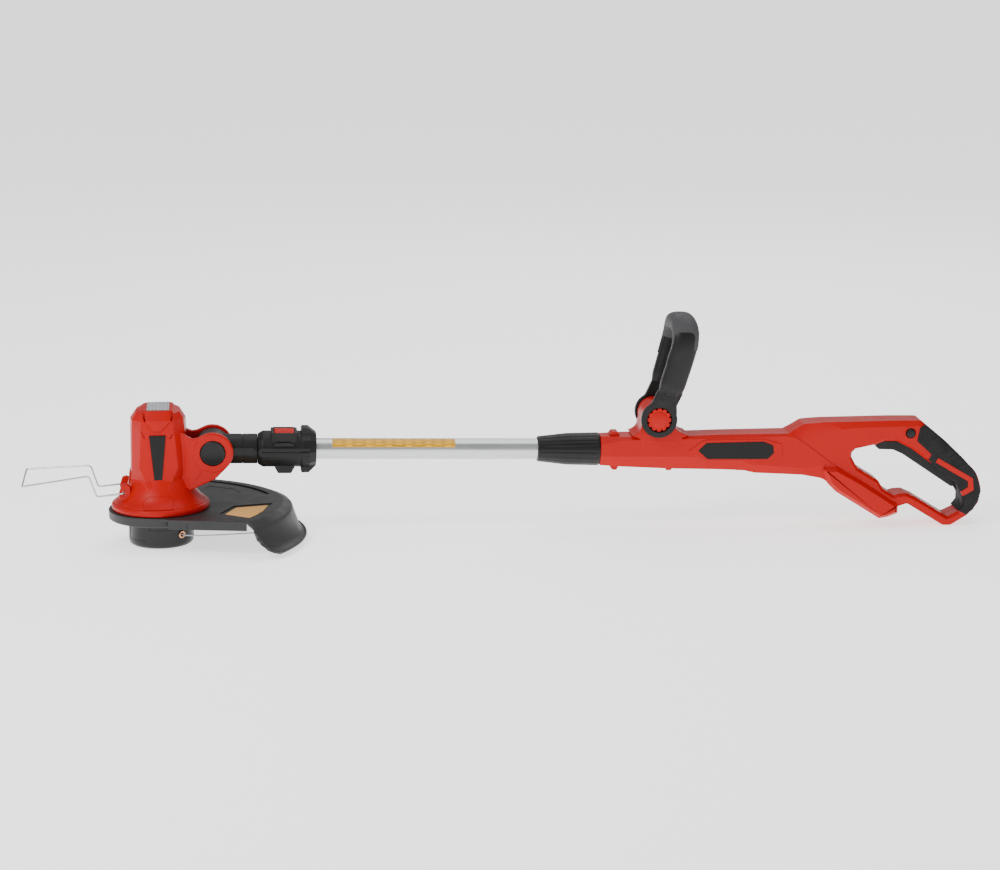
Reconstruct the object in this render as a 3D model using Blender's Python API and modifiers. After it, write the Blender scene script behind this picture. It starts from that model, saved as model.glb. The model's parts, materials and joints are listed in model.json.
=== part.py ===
"""Cordless string trimmer, body only, as separate pieces.

Lengths below are in millimetres and are turned into metres when a piece is made.
The world frame has +Z along the line spool's axis, and its origin is the centre of
the spool cap's flat underside, on the ground.  The pole leans down towards the rear,
so everything behind the tilt joint is drawn in the pole frame: u along the pole, y
across it and w upwards, with its origin on the tilt axis.
"""
import math

import bmesh
import bpy
from mathutils import Matrix, Vector

MM = 0.001
CLEAR = 0.3                      # gap between pieces that touch

# Driving dimensions, in mm and degrees
PIVOT = (60.4, 0.0, 108.4)       # tilt axis, in the world frame
POLE_SLOPE = 1.372               # how far the rear end of the pole leans down
CAP_RADIUS, CAP_TOP = 37.0, 32.4
EYELET_ANGLE, EYELET_HEIGHT = -50.8, 15.6
FLANGE_RADIUS, FLANGE_BASE = 55.7, 42.0
GUARD_HUB_RADIUS, GUARD_TOP = 59.0, 41.5
LIP_RADIUS, LIP_HEIGHT = 167.8, 4.9
GUARD_START, GUARD_END = -38.0, 84.0
SHELL_WALL = 2.4
EAR_RADIUS, EAR_OUTER, EAR_INNER = 23.2, 26.1, 19.2
TILT_BUTTON_RADIUS = 14.2
NECK_RADIUS, SPIGOT_RADIUS = 17.1, 12.0
COLLAR_RADIUS, COLLAR_START, COLLAR_END = 20.8, 51.4, 117.8
TUBE_RADIUS, TUBE_WALL, TUBE_START, TUBE_END = 12.0, 1.2, 81.0, 620.0
TUNNEL_RADIUS = 12.6
NUT_START, NUT_END = 372.5, 444.2
HANDLE_HALF, FOOT_HALF, HANDLE_WALL = 18.5, 25.0, 2.6
BOSS = (509.9, 39.9)             # front handle's axis, u and w
BOSS_RADIUS, BOSS_HALF = 18.5, 21.5
RING_RADIUS, RING_OUTER = 20.9, 29.0
TRIGGER_PIVOT = (866.0, -40.5)
TRIGGER_HALF = 7.0
LOCK_OFF = (807.5, 23.0)
WIRE_PIVOT = (-41.0, 64.0)       # x and z of the wire guard's hinge
WIRE_RADIUS = 1.1

RED = (0.68, 0.017, 0.012, 1)
BLACK = (0.012, 0.012, 0.013, 1)
GUARD_GREY = (0.035, 0.035, 0.036, 1)
RUBBER_GREY = (0.10, 0.10, 0.105, 1)
STEEL = (0.62, 0.62, 0.62, 1)
SATIN = (0.78, 0.79, 0.80, 1)
COPPER = (0.72, 0.36, 0.20, 1)
NYLON = (0.80, 0.84, 0.88, 1)
LABEL = (0.55, 0.57, 0.60, 1)

for old in list(bpy.data.objects):
    bpy.data.objects.remove(old, do_unlink=True)

PARTS = bpy.data.collections.new("string_trimmer")
bpy.context.scene.collection.children.link(PARTS)
materials = {}


# ---------------------------------------------------------------- shape helpers
def link(mesh_or_curve, name="work"):
    obj = bpy.data.objects.new(name, mesh_or_curve)
    PARTS.objects.link(obj)
    return obj


def from_bmesh(bm):
    mesh = bpy.data.meshes.new("work")
    bm.to_mesh(mesh)
    bm.free()
    return link(mesh)


def applied(obj, keep=False):
    """The object with its modifiers or curve settings turned into a welded mesh."""
    bpy.context.view_layer.update()
    graph = bpy.context.evaluated_depsgraph_get()
    mesh = bpy.data.meshes.new_from_object(obj.evaluated_get(graph))
    mesh.transform(obj.matrix_world)
    bm = bmesh.new()
    bm.from_mesh(mesh)
    bmesh.ops.remove_doubles(bm, verts=bm.verts, dist=1e-6)
    bmesh.ops.recalc_face_normals(bm, faces=bm.faces)
    bm.to_mesh(mesh)
    bm.free()
    if not keep:
        bpy.data.objects.remove(obj, do_unlink=True)
    return link(mesh)


def is_closed(obj):
    bm = bmesh.new()
    bm.from_mesh(obj.data)
    good = len(bm.faces) > 3 and all(len(edge.link_faces) == 2 for edge in bm.edges)
    bm.free()
    return good


def box(x0, x1, y0, y1, z0, z1, turn=0.0):
    """A block between two corners, turned about +Y through its own centre."""
    bm = bmesh.new()
    bmesh.ops.create_cube(bm, size=1.0)
    bm.transform(Matrix.Scale(MM, 4) @ Matrix.Diagonal((x1 - x0, y1 - y0, z1 - z0, 1)))
    obj = from_bmesh(bm)
    centre = Vector(((x0 + x1) / 2, (y0 + y1) / 2, (z0 + z1) / 2)) * MM
    turn_matrix = Matrix.Rotation(math.radians(turn), 4, "Y")
    obj.data.transform(Matrix.Translation(centre) @ turn_matrix)
    return obj


def rod(start, end, radius, end_radius=None, sides=24):
    """A cylinder or cone between two points."""
    start, end = Vector(start) * MM, Vector(end) * MM
    along = end - start
    bm = bmesh.new()
    bmesh.ops.create_cone(bm, cap_ends=True, segments=sides, radius1=radius * MM,
                          radius2=(radius if end_radius is None else end_radius) * MM,
                          depth=along.length)
    turn = along.to_track_quat("Z", "Y").to_matrix().to_4x4()
    bm.transform(Matrix.Translation((start + end) / 2) @ turn)
    return from_bmesh(bm)


def turned(profile, closed=True, steps=24, axis="Z", at=(0, 0, 0), sweep=360.0, first=0.0):
    """A profile of (radius, height) points turned about an axis."""
    mesh = bpy.data.meshes.new("work")
    points = [(r * MM, 0, h * MM) for r, h in profile]
    edges = [(i, i + 1) for i in range(len(points) - 1)]
    if closed:
        edges.append((len(points) - 1, 0))
    mesh.from_pydata(points, edges, [])
    obj = link(mesh)
    screw = obj.modifiers.new("turn", "SCREW")
    screw.angle = math.radians(sweep)
    screw.steps = screw.render_steps = steps
    screw.use_merge_vertices = True
    screw.merge_threshold = 1e-6
    obj = applied(obj)
    turn = {"Z": Matrix.Rotation(math.radians(first), 4, "Z"),
            "X": Matrix.Rotation(math.radians(90), 4, "Y"),
            "Y": Matrix.Rotation(math.radians(-90), 4, "X")}[axis]
    obj.data.transform(Matrix.Translation(Vector(at) * MM) @ turn)
    return obj


def rounded(corners, arc_steps=2):
    """An outline whose corners (x, y, radius) are rounded with arcs."""
    points = []
    count = len(corners)
    for i, (x, y, radius) in enumerate(corners):
        here = Vector((x, y))
        to_last = (Vector(corners[i - 1][:2]) - here)
        to_next = (Vector(corners[(i + 1) % count][:2]) - here)
        half = to_last.angle(to_next) / 2
        if radius <= 0 or half > math.radians(88):
            points.append((x, y))
            continue
        reach = min(radius / math.tan(half), 0.48 * to_last.length, 0.48 * to_next.length)
        start, end = here + to_last.normalized() * reach, here + to_next.normalized() * reach
        steps = arc_steps if radius > 4 else 1
        for step in range(steps + 1):
            t = step / steps
            points.append(tuple(start * (1 - t) ** 2 + here * 2 * t * (1 - t) + end * t * t))
    return points


def arc(centre, radius, start, end, steps):
    """Points on an arc, in degrees."""
    span = [math.radians(start + (end - start) * i / steps) for i in range(steps + 1)]
    return [(centre[0] + radius * math.cos(a), centre[1] + radius * math.sin(a)) for a in span]


def extruded(outlines, low, high, upright=True):
    """Flat outlines, the first outer and the rest holes, given a thickness.

    Upright outlines lie in the x-z plane and are thick along y; others lie in x-y.
    """
    curve = bpy.data.curves.new("work", "CURVE")
    curve.dimensions = "2D"
    curve.fill_mode = "BOTH"
    curve.extrude = (high - low) / 2 * MM
    for outline in outlines:
        spline = curve.splines.new("POLY")
        spline.points.add(len(outline) - 1)
        for point, (x, y) in zip(spline.points, outline):
            point.co = (x * MM, y * MM, 0, 1)
        spline.use_cyclic_u = True
    obj = applied(link(curve))
    middle = (low + high) / 2 * MM
    if upright:
        obj.data.transform(Matrix.Translation((0, middle, 0)) @ Matrix.Rotation(math.pi / 2, 4, "X"))
    else:
        obj.data.transform(Matrix.Translation((0, 0, middle)))
    return obj


def wire(points, radius, closed=False):
    """A round wire through points, made as a poly curve with a bevel."""
    curve = bpy.data.curves.new("work", "CURVE")
    curve.dimensions = "3D"
    curve.bevel_depth = radius * MM
    curve.bevel_resolution = 2
    curve.use_fill_caps = True
    spline = curve.splines.new("POLY")
    spline.points.add(len(points) - 1)
    for point, co in zip(spline.points, points):
        point.co = (co[0] * MM, co[1] * MM, co[2] * MM, 1)
    spline.use_cyclic_u = closed
    return applied(link(curve))


def loft(rings):
    """A closed solid through rings that have the same number of points."""
    bm = bmesh.new()
    rows = [[bm.verts.new(Vector(p) * MM) for p in ring] for ring in rings]
    count = len(rings[0])
    for low, high in zip(rows, rows[1:]):
        for i in range(count):
            j = (i + 1) % count
            bm.faces.new((low[i], low[j], high[j], high[i]))
    bm.faces.new(rows[0])
    bm.faces.new(rows[-1])
    bmesh.ops.recalc_face_normals(bm, faces=bm.faces)
    return from_bmesh(bm)


def smooth_path(points, per_span=4):
    """Points on a Catmull-Rom curve through the given points."""
    padded = [points[0]] + list(points) + [points[-1]]
    path = []
    for a, b, c, d in zip(padded, padded[1:], padded[2:], padded[3:]):
        a, b, c, d = Vector(a), Vector(b), Vector(c), Vector(d)
        for step in range(per_span):
            t = step / per_span
            path.append(tuple(0.5 * (2 * b + (c - a) * t + (2 * a - 5 * b + 4 * c - d) * t * t
                                     + (3 * b - a - 3 * c + d) * t ** 3)))
    return path + [tuple(points[-1])]


def boolean(obj, tools, operation):
    """Cuts or joins one tool after another; MANIFOLD stands in where EXACT leaves a gap."""
    for tool in tools:
        for solver in ("EXACT", "MANIFOLD"):
            modifier = obj.modifiers.new("boolean", "BOOLEAN")
            modifier.operation = operation
            modifier.solver = solver
            modifier.object = tool
            result = applied(obj, keep=True)
            if is_closed(result):
                break
            obj.modifiers.clear()
            bpy.data.objects.remove(result, do_unlink=True)
        else:
            raise RuntimeError("no solver could %s these two solids" % operation.lower())
        bpy.data.objects.remove(tool, do_unlink=True)
        bpy.data.objects.remove(obj, do_unlink=True)
        obj = result
    return obj


def cut(obj, *tools):
    return boolean(obj, tools, "DIFFERENCE")


def join(obj, *tools):
    return boolean(obj, tools, "UNION")


def common(obj, tool):
    return boolean(obj, [tool], "INTERSECT")


def bevelled(obj, width, segments=2, limit=50.0):
    modifier = obj.modifiers.new("bevel", "BEVEL")
    modifier.width = width * MM
    modifier.segments = segments
    modifier.limit_method = "ANGLE"
    modifier.angle_limit = math.radians(limit)
    return applied(obj)


def coil(start, end, radius, wire_radius, turns, per_turn=8):
    """A coil spring between two points."""
    start, end = Vector(start), Vector(end)
    along = (end - start).normalized()
    side = along.orthogonal().normalized()
    other = along.cross(side)
    steps = int(turns * per_turn)
    points = []
    for i in range(steps + 1):
        angle = math.tau * i / per_turn
        centre = start + (end - start) * i / steps
        points.append(centre + (side * math.cos(angle) + other * math.sin(angle)) * radius)
    return wire(points, wire_radius)


# ------------------------------------------------------------------ placing
def empty(name, location, parent=None, turn=0.0):
    obj = bpy.data.objects.new(name, None)
    obj.location = Vector(location) * MM
    obj.rotation_euler = (0, math.radians(turn), 0)
    obj.parent = parent
    PARTS.objects.link(obj)
    return obj


WORLD = None
POLE = empty("pole_frame", PIVOT, turn=POLE_SLOPE)


def piece(name, obj, colour, roughness=0.45, metallic=0.0, frame=WORLD, origin=(0, 0, 0)):
    """Names a finished solid, puts its origin where it turns and gives it a material."""
    obj.name = obj.data.name = name
    offset = Vector(origin) * MM
    obj.data.transform(Matrix.Translation(-offset))
    obj.location = offset
    obj.parent = frame
    key = (colour, roughness, metallic)
    if key not in materials:
        material = bpy.data.materials.new("%s_finish" % name)
        material.use_nodes = True
        shader = material.node_tree.nodes["Principled BSDF"]
        shader.inputs["Base Color"].default_value = colour
        shader.inputs["Roughness"].default_value = roughness
        shader.inputs["Metallic"].default_value = metallic
        materials[key] = material
    obj.data.materials.clear()
    obj.data.materials.append(materials[key])
    obj.data.shade_smooth()
    obj.data.set_sharp_from_angle(angle=math.radians(30))
    return obj


def screw(name, at, direction, length=9.0, head=3.4, frame=WORLD):
    """A pan-head screw; direction points from the tip to the head."""
    at, direction = Vector(at), Vector(direction).normalized()
    head_part = rod(at - direction * 1.8, at, head, head * 0.8, sides=16)
    shank = rod(at - direction * length, at - direction * 1.0, head * 0.45, sides=10)
    return piece(name, join(head_part, shank), STEEL, 0.35, 1.0, frame)


# ------------------------------------------------------------------ motor head
def oval(height, left, right, half_depth, power, sides=28):
    """A ring between a circle (power 2) and a rounded square."""
    middle, half = (left + right) / 2, (right - left) / 2
    points = []
    for i in range(sides):
        a = math.tau * i / sides
        c, s = math.cos(a), math.sin(a)
        x = math.copysign(abs(c) ** (2 / power), c) * half + middle
        y = math.copysign(abs(s) ** (2 / power), s) * half_depth
        points.append((x, y, height))
    return points


def head_solid():
    r = FLANGE_RADIUS
    return loft([oval(FLANGE_BASE, -r, r, r, 2), oval(47.0, -r, r, r, 2),
                 oval(50.0, -52.6, 52.6, 52.6, 2), oval(55.0, -46.6, 46.6, 46.6, 2),
                 oval(60.0, -42.2, 41.0, 41.4, 2), oval(66.0, -36.0, 35.0, 35.5, 2.4),
                 oval(74.0, -33.8, 32.6, 32.7, 2.8), oval(86.0, -33.6, 32.4, 32.5, 3.0),
                  oval(128.0, -32.8, 31.6, 31.0, 3.2),
                 oval(146.0, -31.8, 30.6, 29.5, 3.2), oval(155.5, -25.6, 24.4, 27.0, 3.2),
                 oval(158.5, -17.0, 16.5, 25.0, 3.2)])


def head_hollow():
    r = FLANGE_RADIUS - SHELL_WALL
    return loft([oval(FLANGE_BASE - 2, -r, r, r, 2), oval(45.5, -r, r, r, 2),
                 oval(48.0, -49.8, 49.8, 49.8, 2), oval(54.0, -43.2, 43.2, 43.2, 2),
                 oval(59.0, -39.2, 38.0, 38.4, 2), oval(65.5, -33.3, 32.3, 32.8, 2.4),
                 oval(86.0, -31.0, 29.8, 29.9, 3.0), oval(128.0, -30.2, 29.0, 28.4, 3.2),
                 oval(145.0, -29.3, 28.1, 26.9, 3.2), oval(153.5, -23.0, 22.0, 24.6, 3.2),
                 oval(156.0, -15.0, 14.5, 22.6, 3.2)])


def ear_outline():
    ring = arc((PIVOT[0], PIVOT[2]), EAR_RADIUS, 117, -48, 14)
    return [(24, 63.0), (24, 123.0), (36, 124.4)] + ring + [(63.3, 78.5), (33.2, 65.0)]


HEAD_SCREWS = [(-18.0, 33.4, 100.0), (16.0, 33.4, 100.0)]


def head_shell(name, side):
    """One half of the motor casing with its ear and wire guard lug; side is -1 or 1."""
    low, high = sorted((side * CLEAR / 2, side * 80))
    shell = common(cut(head_solid(), head_hollow()), box(-80, 80, low, high, 0, 200))
    low, high = sorted((side * EAR_INNER, side * EAR_OUTER))
    ear = bevelled(extruded([ear_outline()], low, high), 1.2, 1)
    ear = common(ear, box(30.2, 120, low - 5, high + 5, 40, 160))
    ear_foot = extruded([[(24.5, 66), (24.5, 122), (38, 122), (38, 70)]], low + 0.4, high - 0.4)
    low, high = sorted((side * 17.0, side * 23.5))
    lug = extruded([rounded([(-33, 55, 0), (-33, 70, 0), (-44, 70.5, 3), (-46.4, 62, 3),
                             (-44, 54, 1)])], low, high)
    shell = join(shell, ear_foot, ear, lug)
    button_hole = rod((PIVOT[0], side * 15, PIVOT[2]), (PIVOT[0], side * 40, PIVOT[2]),
                      TILT_BUTTON_RADIUS + 0.5)
    wire_hole = rod((WIRE_PIVOT[0], side * 14, WIRE_PIVOT[1]),
                    (WIRE_PIVOT[0], side * 30, WIRE_PIVOT[1]), WIRE_RADIUS + 0.4, sides=12)
    holes = [button_hole, wire_hole]
    if side > 0:
        holes += [rod((x, 15, z), (x, 45, z), 2.1, sides=10) for x, _, z in HEAD_SCREWS]
    return piece(name, cut(shell, *holes), RED, 0.38)


def motor():
    can = turned([(8, 64), (22, 64), (22, 132), (20, 137), (6, 137), (6, 135), (19, 135),
                  (20, 131), (20, 66), (8, 66)])
    piece("motor_can", can, STEEL, 0.3, 1.0)
    mount = turned([(9, 60.2), (31.5, 60.2), (31.5, 63.6), (9, 63.6)])
    piece("motor_mount", mount, BLACK, 0.5)
    rotor = turned([(3.4, 72), (17.5, 72), (17.5, 124), (3.4, 124)], steps=24)
    piece("motor_rotor", rotor, STEEL, 0.4, 1.0)
    piece("motor_shaft", rod((0, 0, 8), (0, 0, 130), 3.0, sides=20), STEEL, 0.25, 1.0)
    hub = turned([(3.4, 50), (26, 50), (26, 51.5), (7, 51.5), (7, 57), (3.4, 57)], steps=24)
    blades = [box(5.2, 25, -0.7, 0.7, 51, 56.5) for _ in range(8)]
    for index, blade in enumerate(blades):
        blade.data.transform(Matrix.Rotation(math.tau * index / len(blades), 4, "Z"))
    piece("cooling_fan", join(hub, *blades), BLACK, 0.5)


def guard():
    """Hub ring, flat plate, folded near edge and the curved wall with its flared lip."""
    hub = turned([(43, 31), (46, 31), (46, 38.5), (56, 38.5), (56, 31), (GUARD_HUB_RADIUS, 31),
                  (GUARD_HUB_RADIUS, GUARD_TOP), (43, GUARD_TOP)], steps=28)
    rim = arc((0, 0), 150.0, GUARD_START - 1, GUARD_END, 14)
    plate = [(10.6, -64.8), (96.0, -80.8)] + rim + [(-10, 62), (-40, 35), (-30, -45)]
    hole = arc((0, 0), 50.0, 0, 340, 17)
    sheet = extruded([plate, hole], GUARD_TOP - 2.6, GUARD_TOP - 0.1, upright=False)
    fold = box(0, 87.5, -0.1, 2.3, 30.5, GUARD_TOP - 0.4)
    slope = math.atan2(-16.0, 85.4)
    fold.data.transform(Matrix.Translation((0.0106, -0.0647, 0)) @ Matrix.Rotation(slope, 4, "Z"))
    wall = bpy.data.meshes.new("work")
    profile = [(146, GUARD_TOP - 0.2), (153.0, 38.5), (155.5, 36), (158.6, 25.4), (162.3, 13.1),
               (164.6, 9.3), (LIP_RADIUS, LIP_HEIGHT)]
    points = [(r * MM, 0, h * MM) for r, h in profile]
    wall.from_pydata(points, [(i, i + 1) for i in range(len(points) - 1)], [])
    wall = link(wall)
    sweep = wall.modifiers.new("turn", "SCREW")
    sweep.angle = math.radians(GUARD_END - GUARD_START)
    sweep.steps = sweep.render_steps = 18
    sweep.use_merge_vertices = False
    sweep.merge_threshold = 1e-6
    thick = wall.modifiers.new("thickness", "SOLIDIFY")
    thick.thickness = 2.4 * MM
    thick.offset = 1.0
    wall = applied(wall)
    wall.data.transform(Matrix.Rotation(math.radians(GUARD_START), 4, "Z"))
    return piece("guard", join(hub, sheet, fold, wall), GUARD_GREY, 0.6)


def line_cutter():
    """Steel blade under the plate that trims the line; its tip is the longest line's radius."""
    blade = box(151.8, 153.4, -14, 14, 14, 30)
    tab = box(139, 153, -14, 14, 30, 31.5)
    blade = join(blade, tab)
    blade.data.transform(Matrix.Rotation(math.radians(70), 4, "Z"))
    piece("line_cutter", blade, STEEL, 0.3, 1.0)
    at = Matrix.Rotation(math.radians(70), 4, "Z") @ Vector((145, 0, 31.9))
    piece("cutter_post", rod(at, (at.x, at.y, 38.4), 4.0, sides=16), GUARD_GREY, 0.6)


def wire_guard():
    """A bent steel wire hoop that swings on two lugs in front of the casing."""
    x, z = WIRE_PIVOT
    half = [(x, 17.6, z), (x, 23.4, z), (x - 1.4, 25.0, z - 0.1), (x - 26, 25.0, z - 3.2),
            (x - 29, 25.2, z - 2.4), (x - 30.4, 25.4, z + 1.4), (x - 35.4, 26.2, z + 18.4),
            (x - 36.8, 26.6, z + 20.6), (x - 40, 27.6, z + 21.0), (x - 108, 43.4, z + 15.4),
            (x - 111, 42.6, z + 15.1), (x - 112.2, 40.0, z + 15.0)]
    points = [(px, -py, pz) for px, py, pz in half] + half[::-1]
    obj = wire(points, WIRE_RADIUS)
    piece("wire_guard", obj, STEEL, 0.25, 1.0, origin=(x, 0, z))


def spool():
    r = CAP_RADIUS
    cap = turned([(0, 0), (r - 3, 0), (r - 0.6, 1.6), (r, 4), (r, CAP_TOP), (r - 2, CAP_TOP),
                  (r - 2, 3), (0, 3)], closed=False, steps=28)
    outward = Vector((math.cos(math.radians(EYELET_ANGLE)), math.sin(math.radians(EYELET_ANGLE)), 0))
    height = Vector((0, 0, EYELET_HEIGHT))
    hole = rod(outward * 30 + height, outward * 45 + height, 3.9, sides=16)
    latch_notch = box(-12.9, 12.9, -40, -31, 22, CAP_TOP + 1)
    piece("spool_cap", cut(cap, hole, latch_notch), BLACK, 0.3)
    tongue = common(turned([(r - 1.9, 22.4), (r + 0.5, 22.4), (r + 0.5, 31.9), (r - 1.9, 31.9)], steps=48),
                    box(-12.4, 12.4, -45, -30, 20, 34))
    foot = box(-10, 10, -35.8, -32.6, 24, 30)
    piece("cap_latch", join(tongue, foot), BLACK, 0.3)
    eyelet = turned([(1.5, 33.2), (3.5, 33.2), (3.5, 37.3), (4.4, 37.6), (4.0, 38.6), (1.5, 38.6)],
                    axis="X", steps=20)
    eyelet.data.transform(Matrix.Translation(height * MM)
                          @ Matrix.Rotation(math.radians(EYELET_ANGLE), 4, "Z"))
    piece("line_eyelet", eyelet, COPPER, 0.25, 1.0)
    carrier = turned([(3.3, 12), (6, 12), (6, 33), (35.5, 33), (35.5, 36.5), (10, 36.5), (10, 44),
                      (3.3, 44)], steps=20)
    piece("spool_carrier", carrier, BLACK, 0.5)
    reel = turned([(6.5, 8.5), (30, 8.5), (30, 10.5), (12, 10.5), (12, 28.5), (30, 28.5), (30, 30.5),
                   (6.5, 30.5)], steps=28)
    piece("line_spool", reel, (0.6, 0.6, 0.6, 1), 0.5)
    wound = turned([(12.4, 11), (26, 11), (26, 28), (12.4, 28)], steps=28)
    piece("wound_line", wound, NYLON, 0.35)
    spring = coil((0, 0, 4.0), (0, 0, 7.6), 9.0, 0.6, 2)
    piece("spool_spring", spring, STEEL, 0.3, 1.0)


# The cutting line's route, from inside the eyelet to its cut end
LINE_RADIUS = 0.8
LINE_ROUTE = [(21.5, -26.4, 15.6), (24.6, -30.2, 15.6), (29.0, -33.6, 15.6), (38.0, -35.6, 15.5),
              (56.0, -35.0, 15.2), (80.0, -31.0, 14.8), (105.0, -25.6, 14.3), (128.0, -19.8, 13.8),
              (142.0, -16.0, 13.4)]


def cutting_line():
    piece("cutting_line", wire(smooth_path(LINE_ROUTE, 3), LINE_RADIUS), NYLON, 0.3)


# ------------------------------------------------------------------ tilt joint
def tilt_joint():
    barrel = turned([(9, -18.8), (20.5, -18.8), (20.5, 18.8), (14.8, 18.8), (14.8, 10.5), (9, 10.5)],
                    axis="Y", steps=28)
    barrel.data.transform(Matrix.Rotation(math.pi, 4, "Z"))
    neck = cut(rod((12, 0, 0), (51, 0, 0), NECK_RADIUS, sides=36),
               rod((0, -40, 0), (0, 40, 0), 15.5, sides=30))
    spigot = rod((50, 0, 0), (79, 0, 0), SPIGOT_RADIUS, sides=30)
    neck = cut(join(barrel, neck, spigot), rod((5, 0, 0), (90, 0, 0), 8.0, sides=20))
    piece("tilt_neck", neck, BLACK, 0.45, frame=POLE)
    button = turned([(0, -27.0), (9.0, -27.0), (11.4, -27.6), (13.4, -27.4), (TILT_BUTTON_RADIUS, -26.2),
                     (TILT_BUTTON_RADIUS, -19.8), (8.5, -19.8), (8.5, -11.0), (0, -11.0)],
                    closed=False, axis="Y")
    piece("tilt_button", button, BLACK, 0.35, frame=POLE)
    cap = turned([(0, 19.8), (TILT_BUTTON_RADIUS, 19.8), (TILT_BUTTON_RADIUS, 26.4), (13.2, 27.4), (0, 27.4)],
                 closed=False, axis="Y")
    piece("tilt_cap", cap, BLACK, 0.35, frame=POLE)
    piece("tilt_axle", rod((0, -5, 0), (0, 19.5, 0), 6.0), STEEL, 0.3, 1.0, frame=POLE)
    piece("tilt_spring", coil((0, -10.0, 0), (0, -6.0, 0), 6.0, 0.6, 2), STEEL, 0.3, 1.0, frame=POLE)


# ------------------------------------------------------------------ collar and pole
def collar_solid():
    r = COLLAR_RADIUS
    body = turned([(0, COLLAR_START), (17.6, COLLAR_START), (r, COLLAR_START + 5.5), (r, 112),
                   (19.0, COLLAR_END), (0, COLLAR_END)], closed=False, axis="X", steps=28)
    ribs = extruded([[(100.4, -10), (100.4, 25.2), (108.4, 25.4), (117.6, 18.0), (117.6, -17.6),
                      (108.6, -26.0), (100.6, -25.6), (100.4, -12)]], -9.5, 9.5)
    block = extruded([[(71, -12), (71, -20), (74.4, -26.6), (89.4, -26.6), (92.5, -20), (92.5, -12)]],
                     -9.5, 9.5)
    bore = rod((40, 0, 0), (130, 0, 0), SPIGOT_RADIUS + CLEAR, sides=30)
    pocket = cut(box(69.3, 93.1, -15.7, 15.7, 10.8, 30), rod((60, 0, 0), (100, 0, 0), 14.4, sides=30))
    return cut(join(body, ribs, block), bore, pocket)


def collar():
    for name, side in (("collar_near", -1), ("collar_far", 1)):
        low, high = sorted((side * CLEAR / 2, side * 60))
        half = common(collar_solid(), box(0, 200, low, high, -60, 60))
        piece(name, half, BLACK, 0.5, frame=POLE)
    button = cut(rod((70, 0, 0), (92.4, 0, 0), 22.0, sides=40), rod((60, 0, 0), (100, 0, 0), 17.6, sides=40))
    button = common(button, box(60, 100, -15.1, 15.1, 14.0, 40))
    piece("rotate_button", bevelled(button, 0.8, 1), RED, 0.4, frame=POLE)
    piece("rotate_spring", coil((81, 0, 14.9), (81, 0, 17.0), 3.0, 0.3, 2), STEEL, 0.3, 1.0, frame=POLE)
    wall = turned([(TUBE_RADIUS - TUBE_WALL, TUBE_START), (TUBE_RADIUS, TUBE_START), (TUBE_RADIUS, TUBE_END),
                   (TUBE_RADIUS - TUBE_WALL, TUBE_END)], axis="X", steps=24)
    piece("pole_tube", wall, SATIN, 0.3, 0.9, frame=POLE)
    bush = turned([(4, 600), (TUBE_RADIUS - TUBE_WALL - CLEAR, 600), (TUBE_RADIUS - TUBE_WALL - CLEAR, 617),
                   (4, 617)], axis="X", steps=24)
    piece("tube_bush", bush, BLACK, 0.5, frame=POLE)
    piece("power_cable", rod((84, 0, 0), (619, 0, 0), 3.2, sides=12), BLACK, 0.5, frame=POLE)
    piece("coiled_cable", rod((621.5, 0, 0), (712, 0, 0), 9.0, sides=20), BLACK, 0.5, frame=POLE)


def lock_nut():
    nut = turned([(12.4, NUT_START), (14.7, NUT_START), (18.3, 405.5), (19.1, NUT_END), (15.7, NUT_END),
                  (15.7, 396), (12.4, 392)], axis="X", steps=24)
    piece("lock_nut", nut, BLACK, 0.5, frame=POLE)
    sleeve = turned([(12.3, 397), (15.3, 397), (15.3, 424), (12.3, 424)], axis="X", steps=30)
    sleeve = cut(sleeve, box(395, 426, -1.5, 1.5, -20, 0))
    piece("clamp_sleeve", sleeve, (0.5, 0.5, 0.5, 1), 0.5, frame=POLE)


# ------------------------------------------------------------------ rear handle
def handle_outline():
    """Side outline of the rear handle, anticlockwise seen from the near side."""
    tail = rounded([(445, -17.3, 0), (456.5, -17.6, 0), (458.6, -23.4, 1), (467, -23.4, 1), (472, -18.6, 2),
                    (521, -20.6, 1), (523, -24.0, 1), (529.6, -24.0, 1), (532, -20.8, 1), (586, -21.6, 0),
                    (602.4, -22.0, 1), (604.4, -24.0, 1), (611.4, -24.0, 1), (618, -23.1, 3),
                    (626, -25.4, 4), (682, -27.3, 20), (703, -30.8, 10), (718, -37, 4), (786, -62, 4),
                    (798, -64.2, 2), (807.6, -60.9, 5), (851.6, -87.0, 4), (861, -87.0, 4), (880.5, -74.8, 8),
                    (893.5, -60.5, 14), (896.8, -44.0, 18), (889.2, -23.6, 24), (850, 12.4, 0),
                    (827.4, 30.8, 3), (820.2, 37.5, 4), (788, 37.4, 0), (705, 35.1, 12), (682.5, 33.4, 8),
                    (663, 21.8, 5), (587, 20.3, 0), (546, 18.8, 6), (534, 24.0, 0)])
    boss = arc(BOSS, BOSS_RADIUS, -32, 212, 14)
    nose = rounded([(491, 24.0, 0), (487, 18.4, 3), (474.4, 17.0, 2), (467.6, 21.8, 1), (457.4, 21.8, 1),
                    (455.6, 17.2, 1), (445, 16.9, 0)])
    return tail + boss + nose


def opening_outline():
    """The hand opening behind the housing, over the strut and in front of the grip."""
    return rounded([(739.4, -5.8, 4), (739.6, -0.6, 4), (744, 3.8, 4), (768, 9.0, 0), (777.4, 13.0, 6),
                      (792, 13.0, 8), (810, 4.2, 12), (866.2, -36.0, 6), (875.3, -54.9, 6),
                      (875.3, -63.5, 6), (869.8, -71.0, 5), (857, -77.4, 4), (818.4, -54.4, 8),
                      (807, -49.6, 6), (797, -50.2, 6), (791.5, -52.0, 3), (778.4, -43.8, 2),
                      (773.1, -34.5, 4), (747, -19.0, 6)])


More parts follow.
